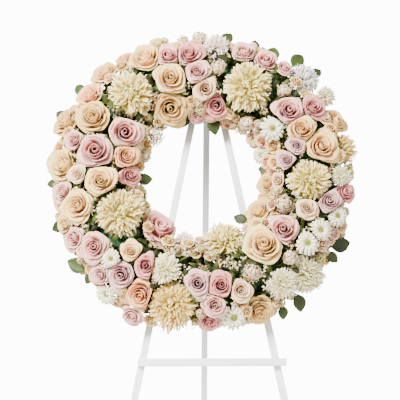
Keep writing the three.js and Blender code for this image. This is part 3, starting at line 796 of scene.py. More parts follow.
BUD_WHORLS = (
    RosePetals(3, 0.20, 0.64, 1.50, 0.00, 0.05, 0.0),
    RosePetals(4, 0.50, 0.60, 1.05, 0.06, 0.50, 0.4),
    RosePetals(5, 0.88, 0.36, 0.92, 0.14, 1.00, 1.0),
)
# Thickness of sheets in mm, a little more than life so that they stay closed and show an edge.
PETAL_THICK, PETAL_THICKER = 0.3, 0.012  # a rose petal's, and what it gains a mm of radius
STRAP_THICK, SEPAL_THICK, LEAF_THICK = 0.9, 0.7, 0.8
LIP_FROM, LIP_LONG = 0.66, 0.34  # a rose petal's lip: where it starts, and its length
LIP_ROLL = 2.3  # radians that the lip rolls outwards by
LIP_PALE_AND_HIGHLIGHT_FROM = 0.86  # a rose petal pales from here to its edge: its own paler edge and a painted highlight on the rolled lip
MUM_CAP = 1.5  # how far straps go round a chrysanthemum, where 2 is all of it
MUM_CROWDING = 1.12  # above 1, straps stand closer together at its heart
PUFF_CAP = 1.7
LOBES = 5  # of a small floret
# How far a chrysanthemum's straps reach, by degrees from the middle of its face.
MUM_REACH = ((0, 30, 55, 80, 100, 125), (0.74, 0.86, 1.0, 1.02, 0.92, 0.7))
# Rows of a button flower: how many straps, how far they lift, and how far they reach.
DAISY_ROWS = ((17, 0.10, 1.0), (15, 0.22, 0.86), (12, 0.34, 0.66))
DAISY_EYE = 44  # florets in its eye
PUFF_SIZES = (4.6, 8.4)  # mm, widths of baby's breath florets, coarser than life so that they show
FLORETS_A_THREAD = 5
FLORET_ASIDE = (0.3, 0.5, 0.81)  # a direction that settles each floret's turn


class Grower:
    """Grows petals, florets and leaves on heads, each with its own seeded chance."""

    def __init__(self) -> None:
        """Models the blanks that every petal, strap and leaf is shaped from."""
        self.petal = make_blank(9, 5)
        self.inner = make_blank(6, 4)
        self.small = make_blank(3, 4)
        self.sepal = make_blank(2, 4)
        self.strap = make_blank(2, 4)
        self.blade = make_blank(4, 6)
        self.star, self.tiny = self.star_blank()

    @staticmethod
    def star_blank() -> tuple[Array, Blank]:
        """Models a five-lobed floret of a few faces.

        Returns:
            Its places, 1 across, and the same as a blank.
        """
        bpy.ops.object.select_all(action="DESELECT")
        bpy.ops.mesh.primitive_cone_add(
            vertices=2 * LOBES, radius1=0.5, depth=0.34, end_fill_type="TRIFAN"
        )
        star = bpy.context.object
        for vertex in star.data.vertices:
            distance = math.hypot(vertex.co.x, vertex.co.y)
            if distance < 0.2:
                vertex.co.z = -0.32 if vertex.co.z < 0 else -0.02
                continue
            turn = round(math.atan2(vertex.co.y, vertex.co.x) / (math.pi / LOBES))
            share = 1.0 if turn % 2 == 0 else 0.5
            vertex.co.x *= share
            vertex.co.y *= share
            vertex.co.z = 0.16 * share
        places, faces = read_away(star)
        return places, Blank(places[:, 0], places[:, 1], places[:, 2], faces)

    @staticmethod
    def lay(
        build: Build,
        head: Head,
        turn: Array,
        places: Array,
        blank: Blank,
        colours: Array,
        share: float,
        slot: int = 0,
    ) -> None:
        """Turns a bloom's own places to its axis, presses them and adds them to the piece.

        Args:
            build: The piece.
            head: The bloom.
            turn: Its basis.
            places: Places about its own middle, facing +Z.
            blank: The sheet that they were laid out from.
            colours: Their colours.
            share: The sheet's own number, for its fine pattern.
            slot: The material's number.
        """
        laid = pressed(places @ turn, head.walls) + head.middle
        colours = np.broadcast_to(np.clip(colours, 0, 1), (len(places), 3))
        sheets = sheet_at(blank.across, blank.along, share)
        build.add(laid, blank.faces, colours, sheets, slot)

    def rose(
        self, build: Build, head: Head, chance: np.random.Generator, bud: bool = False
    ) -> None:
        """Grows a rose: whorls of cupped petals whose lips roll outwards, round a spiral heart.

        Args:
            build: The piece.
            head: The bloom.
            chance: Its random numbers.
            bud: Whether it is a small one of few petals.
        """
        heart, middle, rim, shade = TINTS[head.tint].lit
        turn = head.basis(chance.uniform(0, FULL_TURN))
        whorls = BUD_WHORLS if bud else ROSE_WHORLS if head.kind is Kind.ROSE else SPRAY_WHORLS
        open_up = chance.uniform(0.94, 1.05)
        start = 0.0
        for whorl in whorls:
            blank = self.small if bud else self.petal if whorl.open > 0.5 else self.inner
            start += chance.uniform(0.3, 0.9)
            aside = chance.normal(size=2) * 0.035 * (1 - whorl.depth)
            for k in range(whorl.count):
                azimuth = start + k / whorl.count * 2 * math.pi + chance.uniform(-0.2, 0.2)
                reach = whorl.reach * open_up * chance.uniform(0.88, 1.06)
                height = whorl.height * chance.uniform(0.88, 1.08)
                roll = whorl.roll * chance.uniform(0.5, 1.4)
                phase = chance.uniform(0, FULL_TURN)
                skew = chance.uniform(-0.15, 0.15)
                shut = 1 - 0.42 * whorl.open
                curve = (
                    (0.06, -0.34),
                    ((0.98 * reach + 0.08) * shut, -0.36 + 0.16 * whorl.open),
                    ((1.04 - 0.2 * whorl.open) * reach, 0.45 * height),
                    (reach, height),
                )

                def surface(u: Array, v: Array) -> Array:
                    # A petal is lower towards its sides and comes to a small point.
                    edge = np.abs(u + skew * v)
                    point = 0.02 * np.maximum(0, 1 - edge * 4)
                    tall = v * (1 - 0.20 * np.minimum(edge, 1.2) ** 2.6) + point
                    flat = bezier(curve, np.clip(tall, 0, 1.05))
                    lip = np.clip((tall - LIP_FROM) / LIP_LONG, 0, 1)
                    angle = lip * LIP_ROLL
                    # Its lip rolls outwards and waves, and it widens from its foot.
                    r = flat[:, 0] + roll * (1 - np.cos(angle)) * (0.8 + 0.3 * edge)
                    z = flat[:, 1] + roll * (np.sin(angle) - 0.75 * angle)
                    wave = 0.012 * np.sin(4.2 * u + phase) * lip * (reach > 0.3)
                    r = r * (1 + 0.12 * u) + wave
                    widening = np.sin(np.minimum(v * 1.4, 1) * math.pi / 2)
                    phi = azimuth + u * (whorl.half * (0.42 + 0.58 * widening))
                    x, y = r * np.cos(phi) + aside[0] * v, r * np.sin(phi) + aside[1] * v
                    return head.spread * np.stack([x, y, z], axis=1)

                places = thickened(blank, surface, PETAL_THICKER * head.radius + PETAL_THICK)
                # Painted shade: inner whorls take the heart's colours, which is the rose's own
                # deeper heart darkened further, and each petal darkens to the shade colour at its
                # foot, deep in the cup.
                depth = np.full(len(blank.along), whorl.depth)
                deep = blended([(0, heart), (0.45, middle), (1, rim)], depth)
                stops = [(0.0, shade), (0.6, heart), (0.88, middle), (1.0, rim)]
                mix = 0.66 if whorl.depth < 0.5 else 0.5
                colours = deep * (1 - mix) + blended(stops, blank.along) * mix
                # A petal's lip pales towards the rim colour: its own paler edge, and a painted
                # highlight on the rolled lip.
                lip = blank.along[:, None] > LIP_PALE_AND_HIGHLIGHT_FROM
                colours = np.where(lip, colours * 0.6 + rim * 0.4, colours)
                colours = colours * chance.uniform(0.95, 1.04)
                self.lay(build, head, turn, places, blank, colours, chance.uniform())
        if not bud:
            self.calyx(build, head, turn, chance)

    def calyx(self, build: Build, head: Head, turn: Array, chance: np.random.Generator) -> None:
        """Grows five sepals and the swelling behind a rose.

        Args:
            build: The piece.
            head: The bloom.
            turn: Its basis.
            chance: Its random numbers.
        """
        blank = self.sepal
        for k in range(5):
            azimuth = k / 5 * 2 * math.pi + chance.uniform(-0.1, 0.1)

            def surface(u: Array, v: Array) -> Array:
                wide = 0.16 * np.sin(math.pi * np.clip(0.12 + 0.86 * v, 0, 1)) ** 0.8
                z = -0.47 + 0.20 * v - 0.16 * v * v + 0.05 * u * u
                return head.radius * about(azimuth, 0.07 + 0.62 * v, u * wide, z)

            places = thickened(blank, surface, SEPAL_THICK)
            colour = tone(GREEN) * chance.uniform(0.85, 1.1)
            self.lay(build, head, turn, places, blank, colour, 0.4, STEM_SLOT)
        path = np.array([[0, 0, z] for z in (-0.62, -0.55, -0.45, -0.36)]) * head.radius
        radius = np.array([0.07, 0.15, 0.17, 0.12]) * head.radius
        tube(build, path @ turn + head.middle, radius, 8, GREEN)

    def mum(self, build: Build, head: Head, chance: np.random.Generator) -> None:
        """Grows a large chrysanthemum: strap florets on a ball, short and curled in at its heart.

        Args:
            build: The piece.
            head: The bloom.
            chance: Its random numbers.
        """
        heart, middle, rim, shade = TINTS[head.tint].lit
        turn = head.basis(chance.uniform(0, FULL_TURN))
        blank = self.strap
        count = int(np.clip(190 + 1.9 * head.radius, 220, 310))
        for i in range(count):
            theta = math.acos(1 - ((i + 0.5) / count) ** MUM_CROWDING * MUM_CAP)
            share = theta / math.acos(1 - MUM_CAP)
            reach = float(np.interp(math.degrees(theta), *MUM_REACH)) * chance.uniform(0.80, 1.0)
            azimuth = i * GOLDEN + chance.uniform(-0.2, 0.2)
            curl = chance.uniform(-0.15, 0.7) * (1.1 - 0.5 * share)
            sway = chance.uniform(-0.3, 0.3)
            wide = (0.034 + 0.020 * share) * chance.uniform(0.8, 1.2)
            first = theta * 0.62

            def surface(u: Array, v: Array) -> Array:
                # A strap leaves the heart steeply, bends out, and curls in again at its tip.
                bent = curl * np.clip(v - 0.68, 0, 1) ** 2 * 5
                angle = first + (theta - first) * np.maximum(v, 0) ** 1.3 - bent
                rho = reach * (0.12 + 0.88 * v)
                phi = azimuth + sway * v * v
                r, z = rho * np.sin(angle), rho * np.cos(angle)
                belly = 0.5 + 0.6 * np.sin(math.pi * np.clip(v * 0.92, 0, 1))
                half = wide * belly * (1 - 0.45 * np.clip(v - 0.8, 0, 1) * 5)
                # Its sides stand up, so it is a shallow gutter.
                cup = 0.42 * wide * (u * u) * (0.3 + v)
                r, z = r - cup * np.cos(angle), z + cup * np.sin(angle)
                return head.spread * about(phi, r, u * half, z)

            places = thickened(blank, surface, STRAP_THICK)
            # Painted shade: each strap darkens to the shade colour at its foot, down among the
            # others.
            colours = blended([(0, shade), (0.35, heart), (0.75, middle), (1, rim)], blank.along)
            young = max(0.0, 1 - share * 2.2)
            colours = colours * (1 - 0.55 * young) + heart * 0.55 * young
            colours = colours * chance.uniform(0.93, 1.05)
            self.lay(build, head, turn, places, blank, colours, chance.uniform())

    def daisy(self, build: Build, head: Head, chance: np.random.Generator) -> None:
        """Grows a button chrysanthemum: rows of flat straps round a green-yellow dome.

        Args:
            build: The piece.
            head: The bloom.
            chance: Its random numbers.
        """
        heart, middle, rim, shade = TINTS[head.tint].lit
        turn = head.basis(chance.uniform(0, FULL_TURN))
        blank = self.strap
        for row, (count, lift, reach) in enumerate(DAISY_ROWS):
            for k in range(count):
                azimuth = (k + 0.5 * row) / count * 2 * math.pi + chance.uniform(-0.08, 0.08)
                long = reach * chance.uniform(0.92, 1.02)
                rise = lift + chance.uniform(-0.03, 0.05)

                def surface(u: Array, v: Array) -> Array:
                    r = 0.10 + (long - 0.10) * v
                    z = 0.02 + rise * np.sin(math.pi * 0.55 * v) - 0.03 * u * u
                    half = 0.105 * (0.45 + 0.75 * np.sin(math.pi * np.clip(v * 0.86, 0, 1)))
                    return head.spread * about(azimuth, r, u * half, z)

                places = thickened(blank, surface, SEPAL_THICK)
                # Painted shade: each strap darkens to the shade colour at its foot, under the rows
                # above it.
                colours = blended([(0, shade), (0.3, middle), (1, rim)], blank.along)
                colours = colours * chance.uniform(0.95, 1.03)
                self.lay(build, head, turn, places, blank, colours, chance.uniform())
        for i in range(DAISY_EYE):
            theta = math.acos(1 - (i + 0.5) / DAISY_EYE)
            spot = 0.30 * head.radius * (on_ball(theta, i) * [1, 1, 0.75])
            spot = spot + [0, 0, 0.06 * head.radius]
            self.floret(build, head, turn, spot, 0.13 * head.radius, heart, chance)

    def floret(
        self,
        build: Build,
        head: Head,
        turn: Array,
        spot: Array,
        size: float,
        colour: Array,
        chance: np.random.Generator,
    ) -> None:
        """Adds one tiny star floret that faces away from its bloom's middle.

        Args:
            build: The piece.
            head: The bloom.
            turn: Its basis.
            spot: Its place about the bloom's middle.
            size: Its width.
            colour: Linear colour.
            chance: Its random numbers.
        """
        away = spot / max(float(np.linalg.norm(spot)), 1e-6)
        laid = size * self.star @ turned_to(away, FLORET_ASIDE) + spot
        colour = colour * chance.uniform(0.82, 1.08)
        self.lay(build, head, turn, laid, self.tiny, colour, chance.uniform())

    def puff(self, build: Build, head: Head, chance: np.random.Generator) -> None:
        """Grows a cloud of baby's breath on forking threads.

        Args:
            build: The piece.
            head: The cloud.
            chance: Its random numbers.
        """
        _, middle, rim, _ = TINTS[head.tint].lit
        turn = head.basis(chance.uniform(0, FULL_TURN))
        count = int(110 + 4 * head.radius)
        for i in range(count):
            theta = math.acos(1 - (i + 0.5) / count * PUFF_CAP)
            far = head.radius * chance.uniform(0.5, 1.0)
            spot = far * on_ball(theta, i)
            colour = middle if chance.uniform() < 0.5 else rim
            self.floret(build, head, turn, spot, chance.uniform(*PUFF_SIZES), colour, chance)
            if i % FLORETS_A_THREAD == 0:
                root = np.array([0, 0, -0.25 * head.radius])
                bend = root * 0.4 + spot * 0.5 + chance.uniform(-2, 2, 3)
                path = np.array([root, bend, spot * 0.95]) @ turn
                path = pressed(path, head.walls) + head.middle
                tube(build, path, (0.55, 0.45, 0.35), 3)

    def leaf(
        self,
        build: Build,
        middle: Array,
        along: Array,
        face: Array,
        length: float,
        width: float,
        colour: Array,
        chance: np.random.Generator,
        fine: bool = True,
    ) -> None:
        """Adds one leaf with a folded midrib and a waved rim.

        Args:
            build: The piece.
            middle: Its middle.
            along: Unit direction to its tip.
            face: Unit direction that it faces.
            length: In millimetres.
            width: As a share of its length.
            colour: Linear colour.
            chance: Its random numbers.
            fine: Whether it gets the finer sheet.
        """
        blank = self.blade if fine else self.sepal
        across = np.cross(face, along)
        fold, bow = chance.uniform(0.1, 0.35), chance.uniform(0.04, 0.2)
        phase = chance.uniform(0, FULL_TURN)

        def surface(u: Array, v: Array) -> Array:
            half = width * np.sin(math.pi * np.clip(v, 0, 1) ** 0.82) ** 0.85 * 0.5
            x, y = v - 0.5, u * half
            wave = 0.012 * np.sin(9 * v + phase) * u
            z = fold * half * np.abs(u) - bow * (2 * v - 1) ** 2 * 0.5 + wave
            return middle + length * (x[:, None] * along + y[:, None] * across + z[:, None] * face)

        places = thickened(blank, surface, LEAF_THICK)
        tones = np.tile(np.clip(colour * chance.uniform(0.7, 1.25), 0, 1), (len(places), 1))
        sheets = sheet_at(blank.across, blank.along, chance.uniform())
        build.add(places, blank.faces, tones, sheets)

    def stems(self, build: Build, heads: Sequence[Head]) -> None:
        """Grows a plant's stem, forked where it bears more than one head, into the foam.

        Args:
            build: The piece.
            heads: Its blooms.
        """
        radius = STEM_R[heads[0].kind]
        if len(heads) == 1:
            self.main_stem(build, heads[0].neck, heads[0].core, radius)
            return
        mean = sum(h.middle for h in heads) / len(heads)
        _, core = Ring.core_at(mean)
        direction = unit(mean - core)
        fork_out = FORK_OUT[heads[0].kind]
        fork = core + direction * fork_out
        self.main_stem(build, fork + direction * 2, core, radius)
        for head in heads:
            bend = head.core + unit(head.middle - head.core) * (fork_out + 4)
            path = bow_line(head.neck, bend, fork, 7)
            tube(build, path, np.full(7, radius * 0.85))

    @staticmethod
    def main_stem(build: Build, top: Array, core: Array, radius: float) -> None:
        """Adds a straight stem into the foam.

        Args:
            build: The piece.
            top: Its upper end.
            core: The core line's point that it aims at.
            radius: In millimetres.
        """
        end = core + unit(top - core) * STEM_END
        path = end + np.linspace(0, 1, 5)[:, None] * (top - end)
        tube(build, path, np.full(5, radius))


class Runner:
    """A leafy runner behind the blooms along one rim of the tray."""

    def __init__(self, rim: str, angles: tuple[float, float]) -> None:
        """Notes where the runner lies.

        Args:
            rim: "outer" or "inner".
            angles: Where it starts and ends, in degrees, counted from the right.
        """
        self.radius = RIM_RUN[rim]
        self.side = 1.0 if rim == "outer" else -1.0
        self.angles = angles

    @staticmethod
    def at(angle: float | Array, radius: float, height: float) -> Array:
        """Finds a point round the ring.

        Args:
            angle: In radians.
            radius: From the ring's middle.
            height: In front of the tray's back.

        Returns:
            The point, or a row of points.
        """
        angle = np.asarray(angle, float)
        places = [radius * np.cos(angle), radius * np.sin(angle), np.full(angle.shape, height)]
        return np.stack(places, -1)

    def grow(
        self, build: Build, leaves: Sequence[Head], grower: Grower, chance: np.random.Generator
    ) -> None:
        """Grows the runner's stem, its anchor, and a stalk for each leaf.

        Args:
            build: The piece.
            leaves: Its leaves.
            grower: What shapes the leaves.
            chance: Its random numbers.
        """
        first, last = (math.radians(a) for a in self.angles)
        steps = int((last - first) * self.radius / 14)
        sweep = np.linspace(first, last, steps)
        tube(build, self.at(sweep, self.radius, RUNNER_Z), np.full(steps, RUNNER_R))
        middle = (first + last) / 2
        foot = self.at(middle, self.radius + self.side * 0.5, RUNNER_Z + 0.5)
        anchor = self.at(middle, MEAN_R + self.side * (FOAM_HALF - 14), RUNNER_Z + 24)
        path = foot + np.linspace(0, 1, 4)[:, None] * (anchor - foot)
        tube(build, path, np.full(4, RUNNER_R))
        for leaf in leaves:
            angle = math.radians(leaf.pointing)
            along = np.array([math.cos(angle), math.sin(angle), 0.0])
            face = unit(0.35 * leaf.axis + [0.0, 0.0, 1.0])
            along = unit(along - face * (along @ face))
            start = self.at(math.atan2(leaf.middle[1], leaf.middle[0]), self.radius, RUNNER_Z)
            base = leaf.middle - 0.44 * leaf.length * along
            path = bow_line(start, (start + base) / 2 + leaf.axis * 3, base, 5)
            tube(build, path, np.linspace(2.2, 1.8, 5))
            colour = tone(chance.choice(TIP_TONES))
            grower.leaf(build, leaf.middle, along, face, leaf.length, 0.72, colour, chance)


SEED_STEP = 1000  # a plant's first seed is its number times this
RUNNER_SEED = 7000
LEAF_SEED, FLORET_SEED, COLLAR_SEED, CLUSTER_SEED = 11, 12, 13, 14
# Greens of the leaves in the gaps between the blooms, darkened to brown-olive as painted shade.
LEAF_AND_GAP_SHADE_TONES = ("2c3a10", "3a4614", "465218", "2e3212", "4e5a22")
BUD_TINTS = ("beige", "pale", "beige", "blush", "ivory", "lime", "warm")
TIP_TONES = ("28340e", "303c12", "384618")
FLORET_TONES = ("f4dfb0", "e6cb96", "d8b680", "c88e70", "b29a54")
CLUSTER_TONES = ("f0d494", "e6c684", "f6dea4", "ecc494", "e8b898", "dccf86")


class Filler:
    """Small greenery and filler florets in the gaps between the blooms."""

    LOWEST = 14.0  # mm in front of the tray's back that filler keeps
    COLLAR = ((1, 170, 58), (-1, 110, 52))  # side of the foam, leaves, and how long they grow
    TONE_ODDS = (0.34, 0.26, 0.18, 0.12, 0.10)  # of each floret tone
    BUD_ODDS = 0.6  # share of the clusters that are rose buds
    BUD_GROWTH = 1.25  # a bud's radius for a cluster's
    CLUSTER_RADII = (10.0, 15.0)
    CLUSTER_CAP = 1.5  # how far florets go round a cluster, where 2 is all of it

    def __init__(self, ring: Ring, grower: Grower) -> None:
        """Notes the blooms that the filler keeps clear of.

        Args:
            ring: The planted ring.
            grower: What shapes the leaves and florets.
        """
        self.ring = ring
        self.grower = grower
        heads = [h for h in ring.heads if h.kind is not Kind.LEAF]
        self.middles = np.array([h.middle for h in heads])
        self.radii = np.array([h.radius for h in heads])

    def spots(
        self,
        count: int,
        low: float,
        high: float,
        clear: float,
        chance: np.random.Generator,
        sides: tuple[float, float] = (0.0, 1.75),
    ) -> list[tuple[Array, Array]]:
        """Finds free places over the foam.

        Args:
            count: How many to try.
            low: Nearest to the core line, as a share of the bouquet's section.
            high: Furthest from it.
            clear: Share of a bloom's radius to keep out of.
            chance: Random numbers.
            sides: How far to the sides of the section, in radians.

        Returns:
            Places with their directions out of the core line.
        """
        found = []
        for _ in range(count):
            round_ = chance.uniform(0, 2 * math.pi)
            section = chance.uniform(*sides) * chance.choice((-1, 1))
            far = chance.uniform(low, high)
            outward = np.array([math.cos(round_), math.sin(round_), 0.0])
            spot = outward * (MEAN_R + BOUQUET_HALF * far * math.sin(section))
            spot[2] = CORE_Z + BOUQUET_DEEP * far * math.cos(section)
            gaps = np.linalg.norm(self.middles - spot, axis=1)
            if spot[2] < self.LOWEST or np.any(gaps < clear * self.radii):
                continue
            away = outward * math.sin(section)
            away[2] = math.cos(section)
            found.append((spot, away))
        return found

    def leaves(self, build: Build, chance: np.random.Generator) -> None:
        """Tucks leaves between the blooms, each on a stalk from the foam.

        Args:
            build: The piece.
            chance: Random numbers.
        """
        for spot, away in self.spots(2150, 0.45, 0.84, 0.84, chance):
            aside = unit(np.cross(away, chance.normal(size=3)))
            along = unit(aside * chance.uniform(0.3, 1.0) + away * chance.uniform(0.2, 0.9))
            face = away - along * (away @ along) + chance.normal(size=3) * 0.15
            face = unit(face - along * (face @ along))
            length = chance.uniform(20, 34)
            # Painted shade: leaves tucked between the blooms are darkened further.
            colour = tone(chance.choice(LEAF_AND_GAP_SHADE_TONES)) * 0.8
            self.grower.leaf(build, spot, along, face, length, 0.5, colour, chance, fine=False)
            base = spot - 0.45 * length * along
            _, core = Ring.core_at(spot)
            root = core + (base - core) * 0.55
            path = np.array([base, (base + root) / 2 - away * 2, root])
            tube(build, path, (0.7, 0.8, 0.9), 3)

    def collar(self, build: Build, chance: np.random.Generator) -> None:
        """Lays a collar of leaves from both sides of the foam, behind the blooms.

        Args:
            build: The piece.
            chance: Random numbers.
        """
        for side, count, reach in self.COLLAR:
            for k in range(count):
                angle = (k + chance.uniform(0, 0.8)) / count * 2 * math.pi
                outward = np.array([math.cos(angle), math.sin(angle), 0.0])
                tangent = np.array([-outward[1], outward[0], 0.0])
                along = side * outward + tangent * chance.uniform(-0.7, 0.7)
                along = unit(along + [0, 0, chance.uniform(-0.1, 0.5)])
                start = outward * (MEAN_R + side * (FOAM_HALF - 4))
                start = start + [0, 0, chance.uniform(17, 44)]
                length = chance.uniform(0.7, 1.0) * reach
                face = np.array([0.0, 0.0, 1.0]) + chance.normal(size=3) * 0.25
                face = unit(face - along * (face @ along))
                colour = tone(chance.choice(LEAF_AND_GAP_SHADE_TONES))
                middle = start + along * 0.5 * length
                self.grower.leaf(
                    build, middle, along, face, length, 0.55, colour, chance, fine=False
                )

    @staticmethod
    def stalk(build: Build, spot: Array, radius: Sequence[float], sides: int) -> None:
        """Adds a stalk from a spot down to the foam.

        Args:
            build: The piece.
            spot: Its upper end.
            radius: Its radius at its top, middle and foot.
            sides: Faces around it.
        """
        _, core = Ring.core_at(spot)
        root = core + (spot - core) * 0.5
        tube(build, np.array([spot, (spot + root) / 2, root]), radius, sides)

    def star(
        self, build: Build, places: Array, colours: Array, chance: np.random.Generator
    ) -> None:
        """Adds a star floret that is already in its place.

        Args:
            build: The piece.
            places: Its places in the ring's frame.
            colours: One linear colour, or one for each place.
            chance: Random numbers.
        """
        tiny = self.grower.tiny
        tones = np.broadcast_to(np.clip(colours, 0, 1), (len(places), 3))
        sheets = sheet_at(tiny.across, tiny.along, chance.uniform())
        build.add(places, tiny.faces, tones, sheets)

    def florets(self, build: Build, chance: np.random.Generator) -> None:
        """Tucks small clusters of filler florets between the blooms.

        Args:
            build: The piece.
            chance: Random numbers.
        """
        for spot, away in self.spots(750, 0.62, 0.90, 0.90, chance):
            self.stalk(build, spot, (0.4, 0.5, 0.6), 3)
            base = tone(chance.choice(FLORET_TONES, p=self.TONE_ODDS))
            for _ in range(chance.integers(7, 13)):
                place = spot + chance.normal(size=3) * 4.0
                if np.any(np.linalg.norm(self.middles - place, axis=1) < 0.8 * self.radii):
                    continue
                facing = unit(away + chance.normal(size=3) * 0.5)
                turn = turned_to(facing, chance.normal(size=3))
                laid = chance.uniform(4.0, 7.0) * self.grower.star @ turn + place
                self.star(build, laid, base * chance.uniform(0.8, 1.05), chance)

    def clusters(self, build: Build, buds: Build, chance: np.random.Generator) -> None:
        """Packs rose buds and round clusters of beige florets between the blooms along both rims.

        Args:
            build: The piece of the clusters.
            buds: The piece of the buds.
            chance: Random numbers.
        """
        star = self.grower.star
        shade = 0.7 + 0.3 * np.clip(np.linalg.norm(star[:, :2], axis=1) * 3, 0, 1)
        middles, radii = self.middles.copy(), self.radii.copy()
        for spot, away in self.spots(2300, 0.70, 0.93, 0.70, chance, (0.8, 1.62)):
            radius = chance.uniform(*self.CLUSTER_RADII)
            if np.any(np.linalg.norm(middles - spot, axis=1) < 0.86 * radii + 0.62 * radius):
                continue
            middles, radii = np.vstack([middles, spot]), np.append(radii, radius)
            bud = chance.uniform() < self.BUD_ODDS
            self.stalk(buds if bud else build, spot, (1.2, 1.2, 1.2), 4)
            if bud:
                tint = chance.choice(BUD_TINTS)
                core = Ring.core_at(spot)[1]
                size = self.BUD_GROWTH * radius
                head = Head("", Kind.SPRAY_ROSE, size, spot, away, core, tint=tint)
                self.ring.wall(head)
                self.grower.rose(buds, head, chance, bud=True)
                continue
            base = tone(chance.choice(CLUSTER_TONES))
            count = int(2.4 * radius)
            turn = turned_to(unit(away + [0.0, 0.0, 0.7]), ODD_WAY)
            for i in range(count):
                theta = math.acos(1 - (i + 0.5) / count * self.CLUSTER_CAP)
                outward = unit(on_ball(theta, i) @ turn + chance.normal(size=3) * 0.12)
                spun = turned_to(outward, chance.normal(size=3))
                laid = chance.uniform(0.62, 0.82) * radius * star @ spun
                laid = laid + spot + outward * radius * chance.uniform(0.68, 0.86)
                tones = base * chance.uniform(0.75, 1.08) * shade[:, None]
                self.star(build, laid, tones, chance)


# ---- finishes ------------------------------------------------------------------------------------


def add_node(
    tree: bpy.types.NodeTree, kind: str, sockets: dict | None = None, **props
) -> bpy.types.Node:
    """Adds a shader node.

    Args:
        tree: Where it goes.
        kind: The node's class name.
        sockets: Values or links for its inputs.
        **props: Its own settings.

    Returns:
        The node.
    """
    node = tree.nodes.new(kind)
    for key, value in props.items():
        setattr(node, key, value)
    for key, value in (sockets or {}).items():
        if isinstance(value, bpy.types.NodeSocket):
            tree.links.new(value, node.inputs[key])
        else:
            node.inputs[key].default_value = value
    return node


